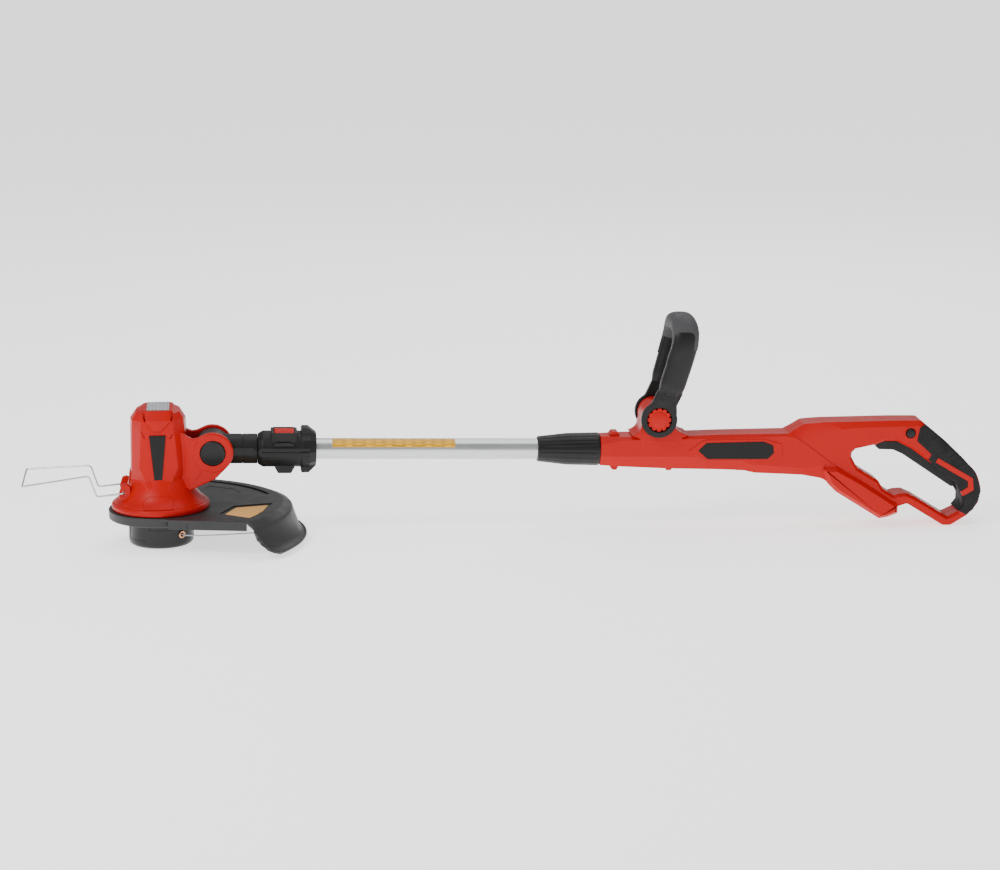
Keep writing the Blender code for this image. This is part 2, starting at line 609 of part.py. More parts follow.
def foot_outline():
    return rounded([(704, -20, 6), (712.6, -37.6, 4), (722, -46.6, 3), (775.2, -78.8, 3), (785, -77, 3),
                    (796.8, -72.2, 2), (796.8, -61.8, 2), (786, -55.0, 2)])


def trigger_outline():
    return rounded([(770.2, 4.0, 1.5), (773.8, 1.0, 2), (790.6, 0.6, 6), (802, -4.4, 8), (862, -43.4, 2),
                    (869.5, -43.0, 2), (870.0, -38.4, 2), (860, -32.6, 3), (812, -1.5, 8), (800, 8.4, 6),
                    (791, 11.6, 4), (777, 11.6, 3), (770.6, 8.0, 2)])


HANDLE_SCREWS = [(700, 0), (730, 20)]
CAVITY = [(664, -22), (700, -26), (714, -33.5), (724, -41), (776, -60), (777, -48), (770, -36),
          (744, -22.4), (736.5, -8), (736.5, 1), (742, 6.6), (766, 11.8), (776, 16), (793, 16), (812, 7.4),
          (868, -32.6), (878.2, -54), (878.2, -62), (884, -66), (890.5, -58), (893.4, -45), (886.6, -25.4),
          (848, 8.8), (825, 28), (819, 34.6), (788, 34.6), (706, 32.3), (684.5, 30.8), (664.5, 19)]
FOOT_CAVITY = [(708, -24), (714.8, -36.2), (723.4, -44), (776, -76), (784.4, -74.4), (794, -70.4),
               (794, -66.6), (783, -58.6)]
TRIGGER_SLOT = [(767.2, -4), (767.2, 12.4), (776, 19), (794, 19), (808, 14), (838, -7), (872.5, -32),
                (872.5, -47), (860, -52), (800, -20)]


def handle_shell(name, side):
    """One half of the rear handle: nose, boss, grip loop and battery foot."""
    def span(inner, outer):
        return sorted((side * inner, side * outer))

    def across(centre, inner, outer, radius, sides):
        return rod((centre[0], side * inner, centre[1]), (centre[0], side * outer, centre[1]), radius,
                   sides=sides)
    solid = extruded([handle_outline(), opening_outline()], *span(CLEAR / 2, HANDLE_HALF))
    foot = extruded([foot_outline()], *span(CLEAR / 2, FOOT_HALF))
    boss = across(BOSS, CLEAR / 2, BOSS_HALF, BOSS_RADIUS + 0.3, 20)
    half_space = box(400, 500, *span(CLEAR / 2, 30), -30, 30)
    spigot = common(rod((426, 0, 0), (450, 0, 0), 15.2, sides=20), half_space)
    solid = join(solid, foot, boss, spigot)
    hollow = extruded([CAVITY], *span(-3, HANDLE_HALF - HANDLE_WALL))
    foot_hollow = extruded([FOOT_CAVITY], *span(-4, FOOT_HALF - HANDLE_WALL))
    tunnel = rod((420, 0, 0), (722, 0, 0), TUNNEL_RADIUS, sides=24)
    slot = extruded([TRIGGER_SLOT], -TRIGGER_HALF - 0.6, TRIGGER_HALF + 0.6)
    cutters = [hollow, foot_hollow, tunnel, slot, across(BOSS, 16.5, 30, 13.5, 20),
               across(BOSS, -2, 20, 7.6, 16), across(LOCK_OFF, -2, 30, 6.0, 20)]
    if side > 0:
        cutters += [across(place, 8, 30, 1.9, 10) for place in HANDLE_SCREWS]
    return piece(name, cut(solid, *cutters), RED, 0.38, frame=POLE)


def grip_cover_outline():
    back = [(827, 27.6), (848, 10.6), (872, -9.6), (886, -24.0), (892.4, -36.0), (893.8, -46.0),
            (891.6, -57.0), (885.0, -67.4), (877.5, -73.6)]
    front = [(862.8, -63.0), (872.0, -60.0), (872.4, -55.0), (864.0, -41.0), (834, -12.0), (831.0, -5.0),
             (817.4, 13.4), (821.0, 29.6)]
    return back + front


BADGE = [(562, -2.8), (573, -12), (643, -12), (651, -5), (650, 2.6), (638, 8.6), (572, 7.2)]


def rear_handle():
    handle_shell("handle_shell_near", -1)
    handle_shell("handle_shell_far", 1)
    for name, side in (("grip_cover_near", -1), ("grip_cover_far", 1)):
        low, high = sorted((side * (HANDLE_HALF + 0.3), side * (HANDLE_HALF + 1.7)))
        cover = bevelled(extruded([grip_cover_outline()[::-1]], low, high), 0.5, 1)
        piece(name, cover, BLACK, 0.7, frame=POLE)
    for name, side in (("badge_near", -1), ("badge_far", 1)):
        low, high = sorted((side * (HANDLE_HALF + 0.3), side * (HANDLE_HALF + 1.1)))
        piece(name, extruded([BADGE], low, high), BLACK, 0.25, frame=POLE)
    trigger = bevelled(extruded([trigger_outline()], -TRIGGER_HALF, TRIGGER_HALF), 1.2, 1, 60)
    pivot = (TRIGGER_PIVOT[0], 0, TRIGGER_PIVOT[1])
    piece("trigger", trigger, BLACK, 0.5, frame=POLE, origin=pivot)
    piece("trigger_spring", coil((784, 0, 12.6), (784, 0, 20.8), 4.0, 0.5, 3), STEEL, 0.3, 1.0, frame=POLE)
    piece("trigger_switch", bevelled(box(774, 798, -8, 8, 21.7, 33), 1, 1), BLACK, 0.5, frame=POLE)
    lock = rod((LOCK_OFF[0], -21.0, LOCK_OFF[1]), (LOCK_OFF[0], 17.0, LOCK_OFF[1]), 5.5, sides=24)
    piece("lock_off_button", bevelled(lock, 0.8, 1, 60), BLACK, 0.4, frame=POLE)
    block = box(740, 770, -15, 15, -60, -48, turn=31)
    piece("terminal_block", bevelled(block, 1, 1), BLACK, 0.5, frame=POLE)
    for index, across in enumerate((-8.0, 8.0), start=1):
        blade = box(767.7, 776.3, across - 0.5, across + 0.5, -67.3, -61.3, turn=31)
        piece("battery_contact_%d" % index, blade, COPPER, 0.3, 1.0, frame=POLE)


# ------------------------------------------------------------------ front handle
LOOP_SIDE = [(512.5, 25.4, 54.0), (516.8, 26.6, 63.8), (522.6, 28.6, 79.0), (527.8, 30.6, 97.7),
             (531.6, 32.0, 112.0), (535.2, 33.0, 128.0)]
LOOP_TOP = [(536.4, 30.0, 141.0), (536.0, 19.0, 148.4), (535.6, 0.0, 150.6)]


def loop_path(side_points, top_points):
    """The whole loop's centreline, from the near ring over the top to the far ring."""
    near = [(u, -y, w) for u, y, w in side_points + top_points]
    far = [(u, y, w) for u, y, w in (side_points + top_points)[::-1]][1:]
    return smooth_path(near + far, 2)


def loop_sweep(path, half_widths, sides=12):
    """Ovals along the loop; half_widths gives (fore-and-aft, thickness) for a point's place."""
    rings = []
    last = len(path) - 1
    for i, point in enumerate(path):
        here = Vector(point)
        along = (Vector(path[min(i + 1, last)]) - Vector(path[max(i - 1, 0)])).normalized()
        fore = (Vector((1, 0, 0.0)) - along * along.x).normalized()
        across = along.cross(fore)
        wide, thick = half_widths(i / last)
        rings.append([here + fore * wide * math.cos(math.tau * k / sides)
                      + across * thick * math.sin(math.tau * k / sides) for k in range(sides)])
    return loft(rings)


def leg_widths(place):
    """Half widths of the loop: slim at the rings, full at the grip."""
    from_end = min(place, 1 - place)
    grow = min(1.0, max(0.0, from_end - 0.03) / 0.09)
    return 10.5 + 4.2 * grow, 3.2 + 6.8 * grow


def core_widths(place):
    wide, thick = leg_widths(place)
    if min(place, 1 - place) < 0.34:
        return wide, thick
    return wide - 3.2, thick - 3.2


def toothed_button(side):
    """A domed push button with square teeth round its edge."""
    teeth, outline = 12, []
    for i in range(teeth):
        middle = 360 * i / teeth
        outline += arc((0, 0), 12.9, middle - 7.5, middle + 7.5, 1)
        outline += arc((0, 0), 11.4, middle + 9.5, middle + 360 / teeth - 9.5, 1)
    low, high = sorted((side * 22.4, side * 27.4))
    disc = extruded([[(BOSS[0] + x, BOSS[1] + z) for x, z in outline]], low, high)
    dome = rod((BOSS[0], side * 27.0, BOSS[1]), (BOSS[0], side * 28.4, BOSS[1]), 9.6, 7.6, sides=16)
    stem = rod((BOSS[0], side * 8.0, BOSS[1]), (BOSS[0], side * 23.0, BOSS[1]), 7.0, sides=16)
    return join(disc, dome, stem)


def front_handle():
    path = loop_path(LOOP_SIDE, LOOP_TOP)
    core = loop_sweep(path, core_widths)
    rings = []
    for side in (-1, 1):
        low, high = sorted((side * 22.0, side * RING_OUTER))
        rim = arc(BOSS, RING_RADIUS, 0, 345, 23)
        rings.append(extruded([rim], low, high))
    loop = join(core, *rings)
    bores = [rod((BOSS[0], side * 20, BOSS[1]), (BOSS[0], side * 32, BOSS[1]), 13.6, sides=32)
             for side in (-1, 1)]
    pivot = (BOSS[0], 0, BOSS[1])
    piece("front_handle", cut(loop, *bores), BLACK, 0.5, frame=POLE, origin=pivot)
    count = len(path)
    first, last = int(count * 0.36), int(count * 0.64) + 1
    sleeve = loop_sweep(path[first:last], lambda place: leg_widths(0.5))
    hollow = loop_sweep(path[first - 2:last + 2], lambda place: tuple(w - 2.5 for w in leg_widths(0.5)))
    piece("front_grip", cut(sleeve, hollow), RUBBER_GREY, 0.75, frame=POLE, origin=pivot)
    for name, side in (("handle_button_near", -1), ("handle_button_far", 1)):
        piece(name, toothed_button(side), RED, 0.4, frame=POLE, origin=pivot)
    spring = coil((BOSS[0], -7.0, BOSS[1]), (BOSS[0], 7.0, BOSS[1]), 5.0, 0.6, 4)
    piece("handle_button_spring", spring, STEEL, 0.3, 1.0, frame=POLE)


def labels():
    """Blank plates where the casing carries its badge and rating plate."""
    badge = extruded([[(-10.2, 124), (-7.0, 79), (3.0, 79), (6.6, 124)]], -34.0, -33.2)
    piece("head_badge", badge, BLACK, 0.25)
    piece("rating_plate", box(-13, 13, -20, 20, 158.8, 159.2), LABEL, 0.4)


def fasteners():
    for index, (x, y, z) in enumerate(HEAD_SCREWS, start=1):
        screw("head_screw_%d" % index, (x, y, z), (0, 1, 0), length=6.0)
    for index, angle in enumerate((160, 280), start=1):
        a = math.radians(angle)
        screw("guard_screw_%d" % index, (51 * math.cos(a), 51 * math.sin(a), 35.8), (0, 0, -1), length=2.2)
    for index, (u, w) in enumerate(HANDLE_SCREWS, start=1):
        screw("handle_screw_%d" % index, (u, HANDLE_HALF + 2.2, w), (0, 1, 0), length=5.0, frame=POLE)


head_shell("head_shell_near", -1)
head_shell("head_shell_far", 1)
motor()
guard()
line_cutter()
wire_guard()
spool()
cutting_line()
tilt_joint()
collar()
lock_nut()
rear_handle()
front_handle()
labels()
fasteners()
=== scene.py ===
"""The looks of a cordless string trimmer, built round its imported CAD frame.

Lengths below are in millimetres and are turned into metres when a mesh is made.  World
+Z is the line spool's axis.  Everything behind the tilt joint is drawn in the pole
frame: u along the pole, y across it and w upwards, from an origin on the tilt axis.
"""
import json
import math

import bmesh
import bpy
from mathutils import Matrix, Vector
from mathutils.bvhtree import BVHTree


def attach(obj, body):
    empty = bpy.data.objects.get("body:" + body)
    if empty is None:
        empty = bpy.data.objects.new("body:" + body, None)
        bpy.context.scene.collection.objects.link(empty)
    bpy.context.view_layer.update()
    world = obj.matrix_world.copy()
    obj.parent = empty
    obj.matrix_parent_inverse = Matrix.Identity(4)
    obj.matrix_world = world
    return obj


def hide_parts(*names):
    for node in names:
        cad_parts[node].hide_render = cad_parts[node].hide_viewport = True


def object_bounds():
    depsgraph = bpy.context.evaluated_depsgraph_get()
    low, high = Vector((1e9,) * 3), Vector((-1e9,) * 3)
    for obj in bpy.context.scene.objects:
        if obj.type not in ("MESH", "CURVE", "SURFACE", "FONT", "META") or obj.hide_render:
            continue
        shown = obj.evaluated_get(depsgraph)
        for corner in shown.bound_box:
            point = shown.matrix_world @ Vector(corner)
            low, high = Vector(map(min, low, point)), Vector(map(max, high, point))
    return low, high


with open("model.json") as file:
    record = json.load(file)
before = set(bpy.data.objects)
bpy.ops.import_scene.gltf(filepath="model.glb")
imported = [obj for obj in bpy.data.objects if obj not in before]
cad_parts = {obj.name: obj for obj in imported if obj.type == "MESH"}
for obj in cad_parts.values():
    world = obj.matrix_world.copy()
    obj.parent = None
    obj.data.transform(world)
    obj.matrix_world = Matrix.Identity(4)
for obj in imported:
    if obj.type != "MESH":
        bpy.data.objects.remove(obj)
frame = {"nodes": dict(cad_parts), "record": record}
CAD_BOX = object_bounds()

MM = 0.001
CLEAR = 0.3
PIVOT = (60.4, 0.0, 108.4)       # tilt axis, in the world frame
POLE_SLOPE = 1.372               # degrees that the rear end of the pole leans down
POLE = Matrix.Translation(Vector(PIVOT) * MM) @ Matrix.Rotation(math.radians(POLE_SLOPE), 4, "Y")
TILT_AXIS = (PIVOT[0], PIVOT[2])
WORLD = Matrix.Identity(4)

CAP_RADIUS, CAP_TOP = 37.0, 32.4
EYELET_ANGLE, EYELET_HEIGHT = -50.8, 15.6
FLANGE_RADIUS = 55.7
GUARD_TOP, GUARD_WALL = 41.5, 2.4
GUARD_START, GUARD_END = -40.0, 84.0      # degrees round the spool's axis
GUARD_CORNER, GUARD_LIP = 24.0, 6.6
EAR_RADIUS, EAR_OUTER, EAR_INNER = 23.2, 26.1, 19.2
TILT_BUTTON_RADIUS = 14.2
TUBE_RADIUS, TUBE_START, TUBE_END = 12.0, 81.0, 620.0
TUNNEL_RADIUS = 12.6
NUT_START, NUT_END = 372.5, 444.2
HANDLE_HALF, FOOT_HALF = 18.5, 25.0
BOSS = (509.9, 39.9)
BOSS_RADIUS, BOSS_HALF = 18.5, 21.5
RING_RADIUS, RING_OUTER = 20.9, 29.0
TRIGGER_HALF = 7.0
LOCK_OFF = (807.5, 23.0)
WIRE_PIVOT = (-41.0, 64.0)
WIRE_RADIUS = 1.1


# ------------------------------------------------------------------- materials
def shader_of(name, colour, roughness, metallic=0.0, **sockets):
    material = bpy.data.materials.new(name)
    material.use_nodes = True
    shader = material.node_tree.nodes["Principled BSDF"]
    shader.inputs["Base Color"].default_value = (*colour, 1)
    shader.inputs["Roughness"].default_value = roughness
    shader.inputs["Metallic"].default_value = metallic
    for socket, value in sockets.items():
        shader.inputs[socket.replace("_", " ")].default_value = value
    return material, material.node_tree, shader


def add_node(tree, kind, **settings):
    node = tree.nodes.new(kind)
    for key, value in settings.items():
        if hasattr(node, key):
            setattr(node, key, value)
        else:
            node.inputs[key.replace("_", " ")].default_value = value
    return node


def mottle(tree, shader, colour, amount, coords, scale=28.0):
    """Slight, large-scale change of colour, as in dyed plastic."""
    tone = add_node(tree, "ShaderNodeTexNoise", Scale=scale, Detail=3.0)
    tree.links.new(coords, tone.inputs["Vector"])
    mix = add_node(tree, "ShaderNodeMix", data_type="RGBA")
    mix.inputs[6].default_value = (*[c * (1 - amount) for c in colour], 1)
    mix.inputs[7].default_value = (*[min(1, c * (1 + amount)) for c in colour], 1)
    tree.links.new(tone.outputs["Fac"], mix.inputs["Factor"])
    tree.links.new(mix.outputs[2], shader.inputs["Base Color"])


def uneven_gloss(tree, shader, low, high, coords, scale):
    """Roughness that drifts between two values, from handling and moulding."""
    blotch = add_node(tree, "ShaderNodeTexNoise", Scale=scale, Detail=4.0)
    tree.links.new(coords, blotch.inputs["Vector"])
    spread = add_node(tree, "ShaderNodeMapRange", From_Min=0.3, From_Max=0.7, To_Min=low,
        To_Max=high)
    tree.links.new(blotch.outputs["Fac"], spread.inputs["Value"])
    tree.links.new(spread.outputs["Result"], shader.inputs["Roughness"])


def grain(tree, shader, height_socket, strength, distance):
    bump = add_node(tree, "ShaderNodeBump", Strength=strength, Distance=distance)
    tree.links.new(height_socket, bump.inputs["Height"])
    tree.links.new(bump.outputs["Normal"], shader.inputs["Normal"])


def object_coords(tree):
    return tree.nodes.new("ShaderNodeTexCoord").outputs["Object"]


def moulded_plastic(name, colour, gloss=(0.3, 0.42), texture=2600.0, strength=0.12, amount=0.05,
        **sockets):
    """Injection-moulded plastic with a fine spark-eroded texture."""
    material, tree, shader = shader_of(name, colour, gloss[0], **sockets)
    coords = object_coords(tree)
    mottle(tree, shader, colour, amount, coords)
    uneven_gloss(tree, shader, *gloss, coords, 60.0)
    pores = add_node(tree, "ShaderNodeTexNoise", Scale=texture, Detail=2.0)
    tree.links.new(coords, pores.inputs["Vector"])
    grain(tree, shader, pores.outputs["Fac"], strength, 0.00012)
    return material


def soft_rubber(name, colour, dots=900.0):
    """Matt overmould with a fine pebble texture."""
    material, tree, shader = shader_of(name, colour, 0.7, Specular_IOR_Level=0.3)
    coords = object_coords(tree)
    mottle(tree, shader, colour, 0.10, coords, 40.0)
    uneven_gloss(tree, shader, 0.62, 0.8, coords, 90.0)
    pebbles = add_node(tree, "ShaderNodeTexVoronoi", Scale=dots)
    tree.links.new(coords, pebbles.inputs["Vector"])
    grain(tree, shader, pebbles.outputs["Distance"], 0.25, 0.0002)
    return material


def drawn_metal(name, colour, low, high, stretch, strength=0.08):
    """Metal with fine drawing or brushing lines along one axis."""
    material, tree, shader = shader_of(name, colour, low, 1.0)
    coords = object_coords(tree)
    mapping = add_node(tree, "ShaderNodeMapping")
    mapping.inputs["Scale"].default_value = stretch
    tree.links.new(coords, mapping.inputs["Vector"])
    lines = add_node(tree, "ShaderNodeTexNoise", Scale=1.0, Detail=3.0)
    tree.links.new(mapping.outputs["Vector"], lines.inputs["Vector"])
    spread = add_node(tree, "ShaderNodeMapRange", From_Min=0.3, From_Max=0.7, To_Min=low,
        To_Max=high)
    tree.links.new(lines.outputs["Fac"], spread.inputs["Value"])
    tree.links.new(spread.outputs["Result"], shader.inputs["Roughness"])
    mottle(tree, shader, colour, 0.04, coords, 50.0)
    grain(tree, shader, lines.outputs["Fac"], strength, 0.00005)
    return material


def printed_film(name, ground, ink, bars, gap):
    """A sticker's ground with rows of plain short bars, in place of any lettering."""
    material, tree, shader = shader_of(name, ground, 0.35)
    coords = object_coords(tree)
    mapping = add_node(tree, "ShaderNodeMapping")
    mapping.inputs["Scale"].default_value = bars
    tree.links.new(coords, mapping.inputs["Vector"])
    rows = add_node(tree, "ShaderNodeTexBrick", Scale=1.0, Mortar_Size=gap, Mortar_Smooth=0.1,
        Brick_Width=0.5, Row_Height=0.25)
    rows.inputs["Color1"].default_value = (*ink, 1)
    rows.inputs["Color2"].default_value = (*[0.6 * i + 0.4 * g for i, g in zip(ink, ground)], 1)
    rows.inputs["Mortar"].default_value = (*ground, 1)
    tree.links.new(mapping.outputs["Vector"], rows.inputs["Vector"])
    tree.links.new(rows.outputs["Color"], shader.inputs["Base Color"])
    uneven_gloss(tree, shader, 0.28, 0.42, coords, 70.0)
    return material


RED = moulded_plastic("red_plastic", (0.46, 0.0030, 0.0015), (0.32, 0.42), Specular_IOR_Level=0.17)
RED_SATIN = moulded_plastic("red_button_plastic", (0.48, 0.0035, 0.002), (0.36, 0.46),
    Specular_IOR_Level=0.17)
BLACK = moulded_plastic("black_plastic", (0.008, 0.008, 0.0078), (0.36, 0.48), strength=0.2,
    Specular_IOR_Level=0.26)
GLOSS_BLACK = moulded_plastic("gloss_black_plastic", (0.004, 0.004, 0.004), (0.16, 0.24),
    strength=0.03, Specular_IOR_Level=0.2)
SPOOL_BLACK = moulded_plastic("spool_plastic", (0.009, 0.009, 0.009), (0.24, 0.36), strength=0.1,
    Specular_IOR_Level=0.35)
GUARD_GREY = moulded_plastic("guard_plastic", (0.022, 0.022, 0.0225), (0.42, 0.54), 1500.0, 0.3,
    0.08, Specular_IOR_Level=0.4)
RUBBER = soft_rubber("black_rubber", (0.008, 0.008, 0.008))
SOFT_GREY = soft_rubber("grey_rubber", (0.060, 0.060, 0.063), 1200.0)
STEEL = drawn_metal("steel", (0.62, 0.62, 0.61), 0.22, 0.36, (900, 900, 60))
TUBE_METAL = drawn_metal("drawn_tube", (0.60, 0.61, 0.62), 0.26, 0.38, (12, 1400, 1400))
COPPER = drawn_metal("copper_metal", (0.75, 0.36, 0.20), 0.18, 0.30, (400, 400, 400))
NYLON = moulded_plastic("nylon_line", (0.72, 0.77, 0.82), (0.2, 0.3), 1800.0, 0.1,
    Transmission_Weight=0.35, IOR=1.53)
GREY_PLASTIC = moulded_plastic("grey_plastic", (0.30, 0.30, 0.30), (0.4, 0.5))
LABEL = printed_film("label_film", (0.55, 0.57, 0.59), (0.16, 0.17, 0.18), (62, 95, 62), 0.055)
YELLOW = printed_film("yellow_film", (0.92, 0.46, 0.0), (0.03, 0.025, 0.02), (22, 220, 130), 0.075)
AMBER = printed_film("amber_film", (0.86, 0.43, 0.07), (0.50, 0.24, 0.04), (60, 130, 60), 0.16)


# --------------------------------------------------------------- shape helpers
def moved(shift):
    return Matrix.Translation(Vector(shift) * MM)


def turned_by(degrees, axis):
    return Matrix.Rotation(math.radians(degrees), 4, axis)


def link(data, name="work"):
    obj = bpy.data.objects.new(name, data)
    bpy.context.scene.collection.objects.link(obj)
    return obj


def from_bmesh(bm):
    mesh = bpy.data.meshes.new("work")
    bm.to_mesh(mesh)
    bm.free()
    return link(mesh)


def applied(obj, keep=False):
    """The object with its modifiers or curve settings turned into a welded mesh."""
    bpy.context.view_layer.update()
    graph = bpy.context.evaluated_depsgraph_get()
    mesh = bpy.data.meshes.new_from_object(obj.evaluated_get(graph))
    mesh.transform(obj.matrix_world)
    bm = bmesh.new()
    bm.from_mesh(mesh)
    bmesh.ops.remove_doubles(bm, verts=bm.verts, dist=1e-6)
    bmesh.ops.recalc_face_normals(bm, faces=bm.faces)
    if bm.calc_volume(signed=True) < 0:
        bmesh.ops.reverse_faces(bm, faces=bm.faces)
    bm.to_mesh(mesh)
    bm.free()
    if not keep:
        bpy.data.objects.remove(obj, do_unlink=True)
    return link(mesh)


def copied(obj):
    return link(obj.data.copy())


def volume_of(obj):
    bm = bmesh.new()
    bm.from_mesh(obj.data)
    volume = bm.calc_volume(signed=True)
    bm.free()
    return volume


def mirrored(obj):
    """A copy reflected in the seam plane."""
    other = copied(obj)
    other.data.transform(Matrix.Scale(-1, 4, (0, 1, 0)))
    other.data.flip_normals()
    return other


def is_closed(obj):
    bm = bmesh.new()
    bm.from_mesh(obj.data)
    good = len(bm.faces) > 3 and all(len(edge.link_faces) == 2 for edge in bm.edges)
    bm.free()
    return good


def box(x0, x1, y0, y1, z0, z1):
    bm = bmesh.new()
    bmesh.ops.create_cube(bm, size=1.0)
    bm.transform(Matrix.Scale(MM, 4) @ Matrix.Diagonal((x1 - x0, y1 - y0, z1 - z0, 1)))
    obj = from_bmesh(bm)
    obj.data.transform(moved(((x0 + x1) / 2, (y0 + y1) / 2, (z0 + z1) / 2)))
    return obj


def rod(start, end, radius, sides=48):
    start, end = Vector(start) * MM, Vector(end) * MM
    along = end - start
    bm = bmesh.new()
    bmesh.ops.create_cone(bm, cap_ends=True, segments=sides, radius1=radius * MM, radius2=radius
        * MM, depth=along.length)
    turn = along.to_track_quat("Z", "Y").to_matrix().to_4x4()
    bm.transform(Matrix.Translation((start + end) / 2) @ turn)
    return from_bmesh(bm)


def lengthways(start, end, radius, sides=48):
    return rod((start, 0, 0), (end, 0, 0), radius, sides)


def crossways(at, start, end, radius, sides=48):
    """A rod across the pole, between two values of y."""
    return rod((at[0], start, at[1]), (at[0], end, at[1]), radius, sides)


def turned(profile, steps=72, axis="Z", at=(0, 0, 0), sweep=360.0, first=0.0):
    """A profile of (radius, height) points turned about an axis, which may close it."""
    mesh = bpy.data.meshes.new("work")
    points = [(r * MM, 0, h * MM) for r, h in profile]
    edges = [(i, i + 1) for i in range(len(points) - 1)]
    if profile[0][0] > 0:
        edges.append((len(points) - 1, 0))
    mesh.from_pydata(points, edges, [])
    obj = link(mesh)
    screw = obj.modifiers.new("turn", "SCREW")
    screw.angle = math.radians(sweep)
    screw.steps = screw.render_steps = steps
    screw.use_merge_vertices = True
    screw.merge_threshold = 1e-6
    obj = applied(obj)
    turn = {"Z": turned_by(first, "Z"), "X": turned_by(90, "Y"), "Y": turned_by(-90, "X")}[axis]
    obj.data.transform(moved(at) @ turn)
    return obj


def rounded(corners):
    """An outline whose corners (x, y, radius) are rounded with arcs."""
    points = []
    count = len(corners)
    for i, (x, y, radius) in enumerate(corners):
        here = Vector((x, y))
        to_last = Vector(corners[i - 1][:2]) - here
        to_next = Vector(corners[(i + 1) % count][:2]) - here
        half = to_last.angle(to_next) / 2
        if radius <= 0 or half > math.radians(88):
            points.append((x, y))
            continue
        reach = min(radius / math.tan(half), 0.48 * to_last.length, 0.48 * to_next.length)
        start, end = here + to_last.normalized() * reach, here + to_next.normalized() * reach
        steps = 5 if radius > 4 else 3
        for step in range(steps + 1):
            t = step / steps
            points.append(tuple(start * (1 - t) ** 2 + here * 2 * t * (1 - t) + end * t * t))
    return points


def arc(centre, radius, start, end, steps):
    span = [math.radians(start + (end - start) * i / steps) for i in range(steps + 1)]
    return [(centre[0] + radius * math.cos(a), centre[1] + radius * math.sin(a)) for a in span]


def offset(outline, distance):
    """An outline moved outwards along its corners' normals."""
    count = len(outline)
    area = sum(outline[i - 1][0] * y - x * outline[i - 1][1] for i, (x, y) in enumerate(outline))
    sign = 1 if area > 0 else -1
    moved = []
    for i, (x, y) in enumerate(outline):
        ax, ay = outline[i - 1]
        bx, by = outline[(i + 1) % count]
        before, after = Vector((y - ay, ax - x)).normalized(), Vector((by - y, x - bx)).normalized()
        spread = math.sqrt(max(0.25, (1 + before.dot(after)) / 2))
        move = (before + after).normalized() * (sign * distance / spread)
        moved.append((x + move.x, y + move.y))
    return moved


def extruded(outlines, low, high, upright=True):
    """Flat outlines, the first outer and the rest holes, given a thickness."""
    curve = bpy.data.curves.new("work", "CURVE")
    curve.dimensions = "2D"
    curve.fill_mode = "BOTH"
    curve.extrude = (high - low) / 2 * MM
    for outline in outlines:
        spline = curve.splines.new("POLY")
        spline.points.add(len(outline) - 1)
        for point, (x, y) in zip(spline.points, outline):
            point.co = (x * MM, y * MM, 0, 1)
        spline.use_cyclic_u = True
    obj = applied(link(curve))
    middle = (low + high) / 2 * MM
    if upright:
        obj.data.transform(Matrix.Translation((0, middle, 0)) @ Matrix.Rotation(math.pi / 2, 4,
            "X"))
    else:
        obj.data.transform(Matrix.Translation((0, 0, middle)))
    return obj


def wire(points, radius):
    curve = bpy.data.curves.new("work", "CURVE")
    curve.dimensions = "3D"
    curve.bevel_depth = radius * MM
    curve.bevel_resolution = 5
    curve.use_fill_caps = True
    spline = curve.splines.new("POLY")
    spline.points.add(len(points) - 1)
    for point, co in zip(spline.points, points):
        point.co = (co[0] * MM, co[1] * MM, co[2] * MM, 1)
    return applied(link(curve))


def loft(rings):
    """A solid through rings of points, closed at both ends."""
    bm = bmesh.new()
    rows = [[bm.verts.new(Vector(p) * MM) for p in ring] for ring in rings]
    count = len(rings[0])
    for low, high in zip(rows, rows[1:]):
        for i in range(count):
            j = (i + 1) % count
            bm.faces.new((low[i], low[j], high[j], high[i]))
    bm.faces.new(rows[0])
    bm.faces.new(rows[-1])
    bmesh.ops.recalc_face_normals(bm, faces=bm.faces)
    return from_bmesh(bm)


def stacked(layers):
    """A solid through side outlines with the same number of points, each at its own y."""
    return loft([[(x, y, z) for x, z in outline] for outline, y in layers])


def smooth_path(points, per_span=8):
    """Points on a Catmull-Rom curve through the given points."""
    padded = [points[0]] + list(points) + [points[-1]]
    path = []
    for a, b, c, d in zip(padded, padded[1:], padded[2:], padded[3:]):
        a, b, c, d = Vector(a), Vector(b), Vector(c), Vector(d)
        for step in range(per_span):
            t = step / per_span
            path.append(tuple(0.5 * (2 * b + (c - a) * t + (2 * a - 5 * b + 4 * c - d) * t * t
                + (3 * b - a - 3 * c + d) * t ** 3)))
    return path + [tuple(points[-1])]


def boolean(obj, tools, operation):
    for tool in tools:
        for solver in ("EXACT", "MANIFOLD"):
            modifier = obj.modifiers.new("boolean", "BOOLEAN")
            modifier.operation = operation
            modifier.solver = solver
            modifier.object = tool
            result = applied(obj, keep=True)
            before, after = volume_of(obj), volume_of(result)
            sound = {"UNION": after > 0.998 * max(before, volume_of(tool)),
                "DIFFERENCE": 0 < after < 1.002 * before, "INTERSECT": 0 < after < 1.002
                * before}[operation]
            if sound and is_closed(result):
                break
            obj.modifiers.clear()
            bpy.data.objects.remove(result, do_unlink=True)
        else:
            print("skipped one", operation.lower())
            bpy.data.objects.remove(tool, do_unlink=True)
            continue
        bpy.data.objects.remove(tool, do_unlink=True)
        bpy.data.objects.remove(obj, do_unlink=True)
        obj = result
    return obj


def cut(obj, *tools):
    return boolean(obj, tools, "DIFFERENCE")


def join(obj, *tools):
    return boolean(obj, tools, "UNION")


def common(obj, tool):
    return boolean(obj, [tool], "INTERSECT")


